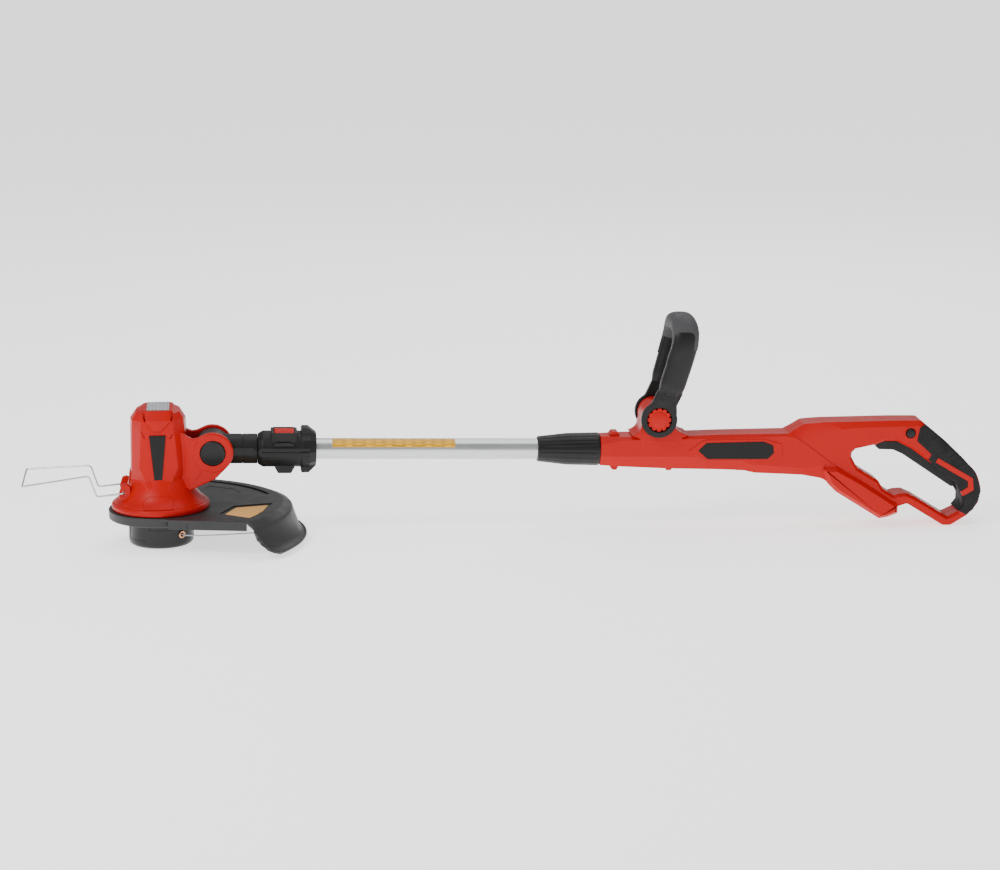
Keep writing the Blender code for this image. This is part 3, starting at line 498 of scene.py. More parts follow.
def softened(obj, width, segments=3, limit=25.0):
    """Rounds the edges; a width that would tear the surface or make spikes is made smaller."""
    bm = bmesh.new()
    bm.from_mesh(obj.data)
    bmesh.ops.dissolve_limit(bm, angle_limit=math.radians(0.6), verts=bm.verts, edges=bm.edges,
        delimit={"NORMAL"})
    bmesh.ops.remove_doubles(bm, verts=bm.verts, dist=0.05 * MM)
    bm.to_mesh(obj.data)
    surface = BVHTree.FromBMesh(bm)
    volume = bm.calc_volume(signed=True)
    bm.free()
    for size in (width, width * 0.6, width * 0.3):
        modifier = obj.modifiers.new("bevel", "BEVEL")
        modifier.width = size * MM
        modifier.segments = segments
        modifier.limit_method = "ANGLE"
        modifier.angle_limit = math.radians(limit)
        modifier.use_clamp_overlap = False
        modifier.miter_outer = "MITER_ARC"
        result = applied(obj, keep=True)
        obj.modifiers.clear()
        away = max((surface.find_nearest(v.co)[3] for v in result.data.vertices), default=1.0)
        if is_closed(result) and away < 1.2 * size * MM and abs(volume_of(result) / volume
                - 1) < 0.05:
            bpy.data.objects.remove(obj, do_unlink=True)
            return result
        bpy.data.objects.remove(result, do_unlink=True)
    print("left sharp, %d faces" % len(obj.data.polygons))
    return obj


def pressed(outline, low, high, width, segments=3, limit=25.0, upright=True):
    """An outline given a thickness, with its edges rounded."""
    return softened(extruded([outline], low, high, upright), width, segments, limit)


def show(name, obj, body, material, place=WORLD, replaces=(), sharp=32.0):
    """Names a finished mesh, bakes its frame into it, shades it and lets it ride on a body."""
    obj.name = obj.data.name = name
    obj.data.transform(place)
    obj.data.materials.clear()
    obj.data.materials.append(material)
    obj.data.shade_smooth()
    obj.data.set_sharp_from_angle(angle=math.radians(sharp))
    even = obj.modifiers.new("even_shading", "WEIGHTED_NORMAL")
    even.keep_sharp = True
    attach(obj, body)
    if replaces:
        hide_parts(*([replaces] if isinstance(replaces, str) else replaces))
    return obj


def show_pair(name, near, body, material, node=None, sharp=32.0):
    """Shows a piece of the near side, and its mirror image on the far side."""
    for side, piece in (("_far", mirrored(near)), ("_near", near)):
        show(name + side, piece, body, material, POLE, node + side if node else (), sharp)


def near_half(solid):
    return common(solid, box(-300, 1200, -200, -CLEAR / 2, -200, 400))


# ------------------------------------------------------------------ motor head
# Near half of the casing's tower from the front seam to the rear seam, one row for a height
TOWER = [(48, [(-34, 0), (-32, -19), (-16, -33), (-13, -34), (11, -34), (14, -33), (31, -19),
    (33, 0)]), (71.5, [(-34.3, 0), (-32.6, -19), (-13.4, -35.6), (-12.3, -35.9), (10.8, -35.9),
    (12, -35.6), (31.6, -19), (33, 0)]), (79, [(-33.6, 0), (-31.7, -17.5), (-15.8, -32.6),
    (-7.3, -33.4), (6.6, -33.4), (14.4, -32.6), (30.6, -17.5), (32.6, 0)]),
    (94, [(-33, 0), (-31, -16.5), (-22.5, -30.6), (-8.8, -32.5), (7.6, -32.5), (21, -30.6),
    (30, -16.5), (32, 0)]), (134, [(-32.4, 0), (-30.4, -16), (-19.6, -29.6), (-12.9, -30.9),
    (11.4, -30.9), (17.8, -29.6), (29.4, -16), (31.2, 0)]), (147, [(-32, 0), (-29.8, -15.5),
    (-18.9, -28.4), (-14, -29.2), (13.8, -29.2), (17, -28.4), (28.6, -15.5), (30.7, 0)]),
    (155.4, [(-26, 0), (-24.6, -14), (-18.2, -26.2), (-13.4, -27), (13.4, -27), (17.4, -26.2),
    (23.8, -14), (24.8, 0)]), (158.5, [(-17.4, 0), (-17, -12), (-16.6, -22), (-13.4, -25),
    (13.4, -25), (16.2, -22), (16.6, -12), (17, 0)])]


def tower():
    return loft([[(x, y, height) for x, y in near] + [(x, -y, height) for x, y in near[-2:0:-1]]
        for height, near in TOWER])


SKIRT = [(0, 42), (54.9, 42), (55.5, 42.6), (FLANGE_RADIUS, 44), (FLANGE_RADIUS, 46.4), (55, 48.2),
    (53.6, 49.4), (52.5, 49.6), (52.1, 50.6), (46.8, 55), (43.6, 58.6), (41, 62.5), (38.6, 67),
    (36.8, 71.6), (35.4, 76), (33, 82), (0, 82)]


def skirt(grow=0.0):
    return turned([(r + grow if r else 0, z) for r, z in SKIRT], steps=96)


def label_column():
    """The raised column under the rating plate, creased down its middle and ending in a V."""
    rows = [(158.4, -13.6, -13, 1.8, 13, 13.6, 24), (148.4, -14.2, -13.4, 1.8, 13.6, 14.4, 28.6),
        (136.4, -7.4, -6.4, 1, 2.9, 3.9, 29.6)]
    rings = []
    for z, a, b, c, d, e, depth in rows:
        rings.append([(a, -depth + 1, z), (b, -depth - 2, z), (c, -depth - 3.2, z),
            (d, -depth - 2, z), (e, -depth + 1, z), (c, -depth + 8, z)])
    return loft(rings)


def ear_outline():
    ring = arc(TILT_AXIS, EAR_RADIUS, 117, -48, 36)
    root = [(63.3, 78.5), (33.2, 65), (23, 63), (23, 131), (31, 131), (33.5, 127), (38, 125.2),
        (43, 126)]
    return root[2:] + ring + root[:2]


def strip(points, width):
    """A thin outline along a broken line, for a groove."""
    left, right = [], []
    for i, (x, z) in enumerate(points):
        a, b = points[max(i - 1, 0)], points[min(i + 1, len(points) - 1)]
        along = Vector((b[0] - a[0], b[1] - a[1])).normalized()
        left.append((x - along.y * width / 2, z + along.x * width / 2))
        right.append((x + along.y * width / 2, z - along.x * width / 2))
    return left + right[::-1]


def head_solid():
    solid = join(tower(), skirt())
    ledge = extruded([[(-18.4, 58.6), (-11.3, 62.7), (9.2, 62.7), (15, 58.4), (15, 50.5),
        (-18.4, 50.5)]], -60, -20)
    solid = join(solid, common(ledge, skirt(0.9)), label_column())
    recesses = []
    for outline, depth in (([(-17, 160), (-15.2, 160), (-13.9, 147.6), (-15.2, 146.6),
            (-16.8, 152)], 24.6), ([(15.4, 160), (17.2, 160), (16.6, 152), (15.4, 147),
            (14.2, 147.6)], 24.6), (strip([(-20.3, 138.5), (-19, 136.2), (-15.4, 128.4)], 1.5),
            28.9), (strip([(18.6, 138.5), (17.6, 134.2), (12.6, 127.8)], 1.5), 28.9)):
        recesses.append(extruded([outline], -60, -depth))
    return near_half(cut(solid, *recesses))


def ear():
    """The arm that carries the tilt joint, flush with the tower and flaring out to its disc."""
    plate = extruded([ear_outline()], -EAR_OUTER, -EAR_INNER)
    plate = softened(common(plate, box(33, 100, -40, 0, 0, 200)), 1.5, 4, 40)
    sections = [(20, 22, 70, 134), (27.5, 22.6, 67.5, 131), (33, 25.4, 66, 127.2),
        (37, 25.9, 67.6, 125.6)]
    inner = -EAR_INNER + 3
    root = loft([[(x, -outer, low), (x, inner, low), (x, inner, high), (x, -outer, high)] for x,
        outer, low, high in sections])
    root = softened(root, 1.2, 3, 20)
    boss = pressed(arc(TILT_AXIS, EAR_RADIUS - 1.2, 0, 354, 59), -EAR_OUTER - 0.7, -EAR_OUTER + 1,
        0.9, 3, 40)
    return [root, plate, boss]


def head_casing():
    half = softened(head_solid(), 0.6, 3, 12)
    step = pressed([(-30, 70), (-30, 86.6), (-33.8, 86.2), (-34.6, 84.6), (-35.2, 72), (-38, 66)],
        -11.5, -0.15, 0.6)
    hollow = turned([(0, 40), (53.3, 40), (53.3, 45.4), (49.8, 48), (43.2, 54), (38, 61), (33, 67),
        (27.8, 76), (27.2, 150), (22, 154), (0, 154)])
    half = cut(join(half, step), hollow)
    lug = pressed(rounded([(-33, 55, 0), (-33, 71, 0), (-38, 74.5, 2), (-43.4, 73.2, 2.5),
        (-46.6, 63, 3), (-44, 54, 1)]), -23.5, -17, 1, 3, 40)
    half = join(half, *ear(), lug)
    half = cut(half, crossways(TILT_AXIS, -15, -40, TILT_BUTTON_RADIUS + 0.5, 72),
        crossways(WIRE_PIVOT, -14, -30, WIRE_RADIUS + 0.9, 24))
    far = cut(mirrored(half), *[crossways((x, 100), 24, 45, 4.2, 32) for x in (-18, 16)])
    show("casing_near", half, "head", RED, replaces="head_shell_near")
    show("casing_far", far, "head", RED, replaces="head_shell_far")


def framed_plate(outline, low, high):
    """A plate with a fine raised rim, facing towards low."""
    plate = pressed(outline, low, high, 0.25, 2, 40)
    rim = extruded([offset(outline, -0.9), offset(outline, -1.6)], low - 0.15, low + 0.2)
    return join(plate, rim)


def head_trim():
    plate = framed_plate([(-5.8, 80.2), (3.2, 80.2), (8.2, 131.4), (-10.4, 131.4)], -0.6, 0.6)
    lean = Matrix.Rotation(-math.atan2(1.35, 51), 4, "X")
    plate.data.transform(moved((0, -32.35, 106)) @ lean @ moved((0, 0, -106)))
    show("badge_plate", plate, "head", GLOSS_BLACK, replaces="head_badge")
    label = pressed(rounded([(-12.6, -22, 1), (12.4, -22, 1), (12.4, 22, 1), (-12.6, 22, 1)]),
        158.5, 159.1, 0.2, 2, 40, upright=False)
    show("rating_label", label, "head", LABEL, replaces="rating_plate")
    face = [(0, 26.3), (7, 26.5), (10.6, 27.2), (12.2, 28), (13.2, 28.1), (14, 27.4),
        (TILT_BUTTON_RADIUS, 26.4), (TILT_BUTTON_RADIUS, 19.9)]
    stem = [(8.4, -19.9), (8.4, -11.2), (0, -11.2)]
    near = turned([(r, -y) for r, y in face] + stem, axis="Y")
    show("tilt_knob_near", near, "tilt_button", BLACK, POLE, "tilt_button")
    far = turned(face + [(0, 19.9)], axis="Y")
    show("tilt_knob_far", far, "head", BLACK, POLE, "tilt_cap")


# ----------------------------------------------------------------------- guard
def guard_profile(share):
    """Radius and height points down the wall; share is 0 at the near end, 1 at the far end."""
    near = [(123.5, 41.4), (126.5, 41.2), (128.5, 40.4), (135.6, 36.4), (137.6, 34.6),
        (138.8, 31.6), (142, 23.4), (146, 17), (150.6, 11.6), (153.4, 9.4), (156, 8.2),
        (160, GUARD_LIP)]
    far = [(142.5, 41.4), (145.5, 41.2), (147.5, 40.7), (153.4, 38.3), (155.5, 36), (156.4, 33),
        (158.6, 25.4), (160.5, 19), (162.3, 13.1), (163.6, 10.4), (165.3, 8.6), (167.8, GUARD_LIP)]
    turn = min(1, share * 2)
    turn = turn * turn * (3 - 2 * turn) * 0.5 + turn * 0.5
    return [(a + (c - a) * turn, b + (d - b) * turn) for (a, b), (c, d) in zip(near, far)]


def wall_at(place):
    """Angle, profile, and lower edge's height and radius at a place along the wall, from 0 to 1."""
    share = place ** 1.35
    angle = math.radians(GUARD_START + (GUARD_END - GUARD_START) * share)
    from_end = math.radians(abs(math.degrees(angle) - GUARD_START)) * 160
    short = max(0, GUARD_CORNER - from_end)
    low = GUARD_LIP + 0.98 * (GUARD_CORNER - math.sqrt(GUARD_CORNER ** 2 - short ** 2))
    profile = guard_profile(share)
    return angle, profile, low, next(r for r, z in profile if z <= low + 0.01)


def edge_path():
    """Down the wall's near end, round its lower corner and along its lower edge."""
    near = guard_profile(0)
    start = math.radians(GUARD_START)
    points = [(r * math.cos(start), r * math.sin(start), z - 1.2) for r, z in near[2:5] + near[6:7]]
    for i in range(60):
        angle, profile, height, r = wall_at(i / 59)
        if height < 23:
            points.append(((r - 0.3) * math.cos(angle), (r - 0.3) * math.sin(angle), height))
    return points


def guard_shell():
    """Flat plate and curved wall as one sheet; the wall's near lower corner is rounded off."""
    steps = 62
    bm = bmesh.new()
    columns = []
    for i in range(steps + 1):
        angle, profile, low, low_radius = wall_at(i / steps)
        column = []
        for k, (r, z) in enumerate(profile):
            if z < low:
                z = low - 0.01 * k
                r = min(r, low_radius + 0.05 * k)
            column.append(bm.verts.new(Vector((r * math.cos(angle), r * math.sin(angle), z)) * MM))
        columns.append(column)
    for left, right in zip(columns, columns[1:]):
        for j in range(len(left) - 1):
            bm.faces.new((left[j], right[j], right[j + 1], left[j + 1]))
    inner = [(10.6, -64.8), (50, -72.4)]
    back = [(-4, 66), (-34, 46), (-44, 10), (-30, -40)]
    edge = [bm.verts.new(Vector((x, y, 41.4)) * MM) for x, y in back + inner]
    plate = [column[0] for column in columns] + edge
    bm.faces.new(plate)
    bmesh.ops.recalc_face_normals(bm, faces=bm.faces)
    sheet = from_bmesh(bm)
    thick = sheet.modifiers.new("thickness", "SOLIDIFY")
    thick.thickness = GUARD_WALL * MM
    thick.offset = -1.0
    thick.use_even_offset = False
    return applied(sheet)


def guard():
    shell = guard_shell()
    hub = turned([(43, 31.4), (43.6, 31), (46, 31), (46, 38.5), (56, 38.5), (56, 31), (58.2, 31),
        (59, 31.8), (59.2, 40.6), (58.4, GUARD_TOP), (43, GUARD_TOP)], steps=96)
    fold = softened(box(-2, 87.5, -0.2, 2.2, 30.4, GUARD_TOP - 0.3), 0.6, 2, 40)
    slope = math.atan2(-16, 85.4)
    fold.data.transform(Matrix.Translation((0.0106, -0.0647, 0)) @ Matrix.Rotation(slope, 4, "Z"))
    body = join(hub, shell, fold)
    slot_outline = arc((0, 0), 128.6, 22, 70, 34) + arc((0, 0), 135.4, 70, 22, 34)
    slot = extruded([slot_outline], 39.7, 45, upright=False)
    pocket_outline = [(66.6, -38.8), (100.2, -63), (111, -46), (120.4, -26), (127.6, 5.4),
        (83.2, -3.8)]
    pocket = extruded([pocket_outline], 40, 45, upright=False)
    slit_at = Vector((30.3, -68.4))
    slit = box(slit_at.x - 0.5, slit_at.x + 0.5, slit_at.y - 2.6, slit_at.y + 0.5, 28, 38.5)
    body = cut(body, slot, pocket, slit, rod((0, 0, 20), (0, 0, 60), 43.5, sides=72))
    show("guard_cover", body, "head", GUARD_GREY, replaces="guard")
    film = extruded([[(71.9, -42), (99.4, -59.2), (108, -45), (116, -27), (122.6, -0.4),
        (86, -8.6)]], 39.9, 40.35, upright=False)
    show("guard_film", film, "head", AMBER)
    show("guard_lip", wire(edge_path(), 1.5), "head", GUARD_GREY)
    mark = [(51.2, 85.2), (55.1, 96), (85, 77.5), (90.7, 60)]
    ridge = extruded([strip(mark, 0.8)], 41.2, 41.75, upright=False)
    show("guard_rib", ridge, "head", GUARD_GREY)


def fillet_path(corners):
    """A broken line in space whose corners (x, y, z, radius) are rounded."""
    steps = 6
    points = [tuple(corners[0][:3])]
    for before, (x, y, z, radius), after in zip(corners, corners[1:], corners[2:]):
        here = Vector((x, y, z))
        to_last, to_next = Vector(before[:3]) - here, Vector(after[:3]) - here
        reach = min(radius, 0.45 * to_last.length, 0.45 * to_next.length)
        start, end = here + to_last.normalized() * reach, here + to_next.normalized() * reach
        for step in range(steps + 1):
            t = step / steps
            points.append(tuple(start * (1 - t) ** 2 + here * 2 * t * (1 - t) + end * t * t))
    return points + [tuple(corners[-1][:3])]


def wire_guard():
    x, z = WIRE_PIVOT
    half = [(x, 17.6, z, 0), (x, 25, z, 1.6), (x - 30.2, 25, z - 3.4, 3.2),
        (x - 38.4, 27.2, z + 21.4, 3.6), (x - 112, 43.6, z + 15, 3)]
    corners = [(px, -py, pz, r) for px, py, pz, r in half] + half[::-1]
    hoop = wire(fillet_path(corners), WIRE_RADIUS)
    show("plant_guard_wire", hoop, "wire_guard", STEEL, replaces="wire_guard")


# ----------------------------------------------------------------------- spool
def spool():
    r = CAP_RADIUS
    cap = turned([(0, 0), (r - 6, 0), (r - 3.4, 0.5), (r - 1.4, 1.9), (r - 0.3, 4.2), (r, 7),
        (r, 30.6), (r - 0.5, 31.9), (r - 2, CAP_TOP), (r - 2, 4), (r - 4, 3), (0, 3)], steps=96)
    heading = math.radians(EYELET_ANGLE)
    outward_way = Vector((math.cos(heading), math.sin(heading), 0))
    height = Vector((0, 0, EYELET_HEIGHT))
    hole = rod(outward_way * 30 + height, outward_way * 45 + height, 3.9, sides=32)
    notch = box(-12.9, 12.9, -40, -31, 22, CAP_TOP + 1)
    facets = []
    for start in (78, 198, 318):
        facets.append(turned([(r - 0.45, 9), (r + 2, 9), (r + 2, 27), (r - 0.45, 27)], steps=24,
            sweep=44, first=start))
    show("spool_cover", cut(cap, hole, notch, *[closed_sector(f) for f in facets]), "spool",
        SPOOL_BLACK, replaces="spool_cap")
    tongue = common(turned([(r - 1.9, 22.4), (r + 0.3, 22.4), (r + 0.3, 31.9), (r - 1.9, 31.9)],
        steps=96), box(-12.4, 12.4, -45, -30, 20, 34))
    ribs = []
    for place in range(7):
        a = math.radians(-90 + (place - 3) * 4.6)
        ribs.append(rod(((r - 0.2) * math.cos(a), (r - 0.2) * math.sin(a), 24),
            ((r - 0.2) * math.cos(a), (r - 0.2) * math.sin(a), 30.4), 0.75, sides=12))
    foot = box(-10, 10, -35.8, -32.6, 24, 30)
    show("cap_release", join(tongue, foot, *ribs), "cap_latch", SPOOL_BLACK, replaces="cap_latch")
    eyelet = turned([(1.7, 33.4), (3.5, 33.4), (3.5, 37), (4.3, 37.2), (4.5, 37.8), (4.1, 38.4),
        (3, 38.5), (2.1, 38.1), (1.7, 37.4)], axis="X", steps=40)
    eyelet.data.transform(Matrix.Translation(height * MM) @ Matrix.Rotation(heading, 4, "Z"))
    show("line_grommet", eyelet, "spool", COPPER, replaces="line_eyelet")


def closed_sector(obj):
    """Fills the open ends that a part turn leaves."""
    bm = bmesh.new()
    bm.from_mesh(obj.data)
    bmesh.ops.holes_fill(bm, edges=[e for e in bm.edges if e.is_boundary], sides=0)
    bmesh.ops.recalc_face_normals(bm, faces=bm.faces)
    bm.to_mesh(obj.data)
    bm.free()
    return obj


# The cutting line's route, from inside the eyelet to its cut end
LINE_RADIUS = 0.8
LINE_ROUTE = [(21.5, -26.4, 15.6), (24.6, -30.2, 15.6), (29, -33.6, 15.6), (38, -35.6, 15.5),
    (56, -35, 15.2), (80, -31, 14.8), (105, -25.6, 14.3), (128, -19.8, 13.8), (142, -16, 13.4)]


def cutting_line():
    route = [Vector(p) * MM for p in smooth_path(LINE_ROUTE, 3)]
    curve = bpy.data.curves.new("trimmer_line", "CURVE")
    curve.dimensions = "3D"
    curve.bevel_depth = LINE_RADIUS * MM
    curve.bevel_resolution = 4
    curve.use_fill_caps = True
    spline = curve.splines.new("POLY")
    spline.points.add(len(route) - 1)
    for point, co in zip(spline.points, route):
        point.co = (*co, 1)
    line = link(curve, "trimmer_line")
    curve.materials.append(NYLON)
    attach(line, "spool")
    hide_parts("cutting_line")


# ------------------------------------------------------------ tilt joint, pole
def tilt_joint():
    barrel = turned([(9, -18.8), (19.9, -18.8), (20.5, -18.2), (20.5, 18.2), (19.9, 18.8),
        (14.8, 18.8), (14.8, 10.5), (9, 10.5)], axis="Y")
    barrel.data.transform(turned_by(180, "Z"))
    sleeve = turned([(0, 12), (17.1, 12), (17.1, 33), (16.7, 33.4), (16.7, 34.6), (17.1, 35),
        (17.1, 50.2), (16.4, 51), (0, 51)], axis="X")
    sleeve = cut(sleeve, crossways((0, 0), -40, 40, 15.5))
    spigot = lengthways(50, 79, 12)
    flats = [softened(box(22, 47, side * 16.4 - 1.1, side * 16.4 + 1.1, -4.5, 4.5), 0.8, 2, 40)
        for side in (-1, 1)]
    neck = cut(join(barrel, sleeve, spigot, *flats), lengthways(5, 90, 8))
    show("swivel_neck", neck, "neck", BLACK, POLE, "tilt_neck")


def collar_solid():
    r = 20.8
    body = turned([(0, 51.4), (17.2, 51.4), (17.8, 51.9), (r - 0.4, 56.2), (r, 57.2), (r, 112),
        (19, 117.8), (0, 117.8)], axis="X", steps=96)
    flange = softened(turned([(0, 100.4), (21.6, 100.4), (22.3, 101.6), (22.3, 110.4),
        (19.4, 117.8), (0, 117.8)], axis="X", steps=10), 0.5, 2, 20)
    flange.data.transform(turned_by(18, "X"))
    ribs = pressed([(100.4, -10), (100.4, 24.6), (102, 25.8), (108.4, 25.8), (117.6, 18.4),
        (117.6, -17.6), (109.4, -26), (101.6, -26.2), (100.4, -24.6), (100.4, -12)], -9.5, 9.5, 0.8,
        3, 30)
    block = pressed([(70.6, -12), (70.6, -20), (74.4, -26.8), (89.4, -26.8), (93.2, -20),
        (93.2, -12)], -10.5, 10.5, 0.8, 3, 30)
    button_rim = pressed([(66, -15.8), (71, -18.4), (91, -18.4), (96.2, -15.8), (96.2, 15.8),
        (91, 18.4), (71, 18.4), (66, 15.8)], 8, 21.6, 0.9, 2, 30, upright=False)
    bars = []
    for side in (-1, 1):
        low, high = sorted((side * 17, side * 21.2))
        bars.append(pressed([(67.4, 7), (72, 11.2), (89.2, 11.2), (94, 7)], low, high, 0.5, 2, 30))
        low, high = sorted((side * 19, side * 21.6))
        bars.append(pressed([(53.6, -5.4), (53.6, -3), (51.6, -2.2), (51.6, 2.2), (53.6, 3),
            (53.6, 5), (111, 5), (111, -5.4)], low, high, 0.5, 2, 30))
    groove = cut(box(56, 110, -30, 30, -0.45, 0.45), lengthways(40, 120, 20.6))
    solid = join(body, flange, ribs, block, button_rim, *bars)
    pocket = cut(box(69.3, 93.1, -15.7, 15.7, 10.8, 30), lengthways(60, 100, 14.4))
    return cut(solid, groove, pocket, lengthways(40, 130, 12.3))


def collar_and_pole():
    near = near_half(collar_solid())
    show_pair("clamp", near, "pole", BLACK, "collar")
    button = cut(lengthways(70, 92.4, 23.4, 80), lengthways(60, 100, 17.6, 80))
    outline = rounded([(70, -12.4, 1), (73, -15.1, 1), (89.4, -15.1, 1), (92.4, -12.4, 1),
        (92.4, 12.4, 1), (89.4, 15.1, 1), (73, 15.1, 1), (70, 12.4, 1)])
    button = softened(common(button, extruded([outline], 13.8, 40, upright=False)), 0.9, 3, 30)
    show("rotate_key", button, "rotate_button", RED_SATIN, POLE, "rotate_button")
    inner = TUBE_RADIUS - 1.2
    tube = turned([(inner, TUBE_START), (TUBE_RADIUS - 0.2, TUBE_START),
        (TUBE_RADIUS, TUBE_START + 0.3), (TUBE_RADIUS, TUBE_END - 0.3),
        (TUBE_RADIUS - 0.2, TUBE_END), (inner, TUBE_END)], axis="X", steps=96)
    show("drawn_tube", tube, "pole", TUBE_METAL, POLE, "pole_tube")
    film = turned([(TUBE_RADIUS + 0.02, 136), (TUBE_RADIUS + 0.14, 136), (TUBE_RADIUS + 0.14, 277),
        (TUBE_RADIUS + 0.02, 277)], axis="Z", steps=24, sweep=62)
    film = closed_sector(film)
    film.data.transform(turned_by(188, "X") @ turned_by(90, "Y"))
    show("tube_film", film, "pole", YELLOW, POLE)


def lock_nut():
    """A tapered collar nut with shallow flutes along it."""
    stations = [(NUT_START, 13.6), (NUT_START + 0.8, 14.7), (380, 15.4), (404, 18.1), (407, 18.4),
        (440.4, 19.1), (443.2, 19), (NUT_END, 18.2)]
    rings, sides, flutes = [], 144, 18
    for u, radius in stations:
        depth = 0.0 if u < 376 or u > 443 else 0.55
        ring = []
        for k in range(sides):
            turn = math.tau * k / sides
            r = radius - depth * max(0, math.cos(math.tau * k * flutes / sides)) ** 4
            ring.append((u, r * math.cos(turn), r * math.sin(turn)))
        rings.append(ring)
    nut = cut(loft(rings), lengthways(360, 450, 12.4), lengthways(394, 450, 15.7))
    show("twist_nut", nut, "lock_nut", BLACK, POLE, "lock_nut", sharp=40)


# ----------------------------------------------------------------- rear handle
def handle_outline():
    return rounded([(445, -17.3, 0), (472, -18.6, 2), (521, -20.6, 1), (586, -21.6, 0),
        (614, -22.6, 3), (626, -25.4, 4), (682, -27.3, 20), (703, -30.8, 10), (718, -37, 4),
        (786, -62, 4), (798, -64.2, 2), (807.6, -60.9, 5), (851.6, -87, 4), (861, -87, 4),
        (880.5, -74.8, 8), (892.6, -60.5, 14), (895.4, -44, 18), (889.2, -23.6, 24), (850, 12.4, 0),
        (827.4, 30.8, 3), (820.2, 37.5, 4), (788, 37.4, 0), (705, 35.1, 12), (682.5, 33.4, 8),
        (663, 21.8, 5), (587, 20.3, 0), (546, 18.8, 6), (467, 17.2, 0), (445, 16.9, 0)])


def opening_outline():
    return rounded([(739.4, -5.8, 4), (739.6, -0.6, 4), (744, 3.8, 4), (768, 9, 0), (777.4, 13, 6),
        (792, 13, 8), (810, 4.2, 12), (866.2, -36, 6), (875.3, -54.9, 6), (875.3, -63.5, 6),
        (869.8, -71, 5), (857, -77.4, 4), (818.4, -54.4, 8), (807, -49.6, 6), (797, -50.2, 6),
        (791.5, -52, 3), (778.4, -43.8, 2), (773.1, -34.5, 4), (747, -19, 6)])


def foot_outline():
    return rounded([(704, -18, 4), (712.6, -37.6, 4), (722, -46.6, 3), (775.2, -78.8, 3),
        (785, -77, 3), (796.8, -72.2, 2), (796.8, -61.8, 2), (786, -55, 2), (750, -32.4, 4),
        (722, -17.2, 3)])


# Sections of the casing along the pole: top edge's half width and height, height of the upper
# and lower creases on the side, half width and height of the bottom edge, and the half width
CASING_SECTIONS = [(440, 8.5, 17.4, 9, -5.2, 9, -18, 16.9), (447, 8.8, 17.6, 9.4, -5.2, 9.2, -18.2,
    17.1), (470, 12.5, 18.6, 14, -5.2, 11, -20, 18.5), (545, 13.5, 20.6, 15.6, -5.2, 11.5, -22.2,
    18.5), (600, 13.8, 22, 17, -7.6, 12, -23.6, 18.5), (624, 14, 22.6, 17.6, -14.6, 13, -26, 18.5),
    (660, 14.4, 23.4, 19.4, -17, 14, -28, 18.5), (672, 14.8, 28.6, 17.6, -18.2, 14.4, -29, 18.5),
    (686, 15.4, 37, 11.6, -18.5, 14.8, -31, 18.5), (704, 15.2, 37.6, 23.7, -16, 15, -38, 18.5),
    (728, 15, 38, 27.4, -60, 18.4, -61, 18.5), (747, 14.8, 38.6, 29.2, -92, 18.4, -93, 18.5),
    (816, 14.2, 39.6, 31.4, -98, 18.4, -99, 18.5), (822, 13, 38, 29, -98, 18.4, -99, 18.5),
    (905, 11, -32, -44, -98, 18.4, -99, 18.5)]


def casing_envelope():
    rings = []
    for u, top_half, top, upper, lower, low_half, low, half in CASING_SECTIONS:
        rings.append([(u, -top_half, top), (u, -half, upper), (u, -half, lower),
            (u, -low_half, low), (u, low_half, low), (u, half, lower), (u, half, upper),
            (u, top_half, top)])
    return loft(rings)


SEAM_LINE = [(666.5, 22), (686.8, 9), (708.2, -7), (750.5, -36.4), (797.2, -63.4)]


def casing_solid():
    """Near side of the body: its outline, creased flanks, the opening's rim and the seams."""
    solid = common(extruded([handle_outline(), opening_outline()], -18.5, 18.5), casing_envelope())
    rim = stacked([(offset(opening_outline(), -0.2), -HANDLE_HALF + 3.6), (offset(opening_outline(),
        3.2), -HANDLE_HALF - 0.1), (offset(opening_outline(), 3.2), -HANDLE_HALF - 4)])
    seams = [extruded([strip(SEAM_LINE, 1.3)], -24, -17.6), extruded([strip([(708.6, -14.4),
        (706.6, -21), (700.4, -29)], 0.8)], -24, -17.7)]
    return cut(solid, rim, *seams)


def tab(outline, half, width=0.7):
    return pressed(outline, -half, half, width, 3, 30)


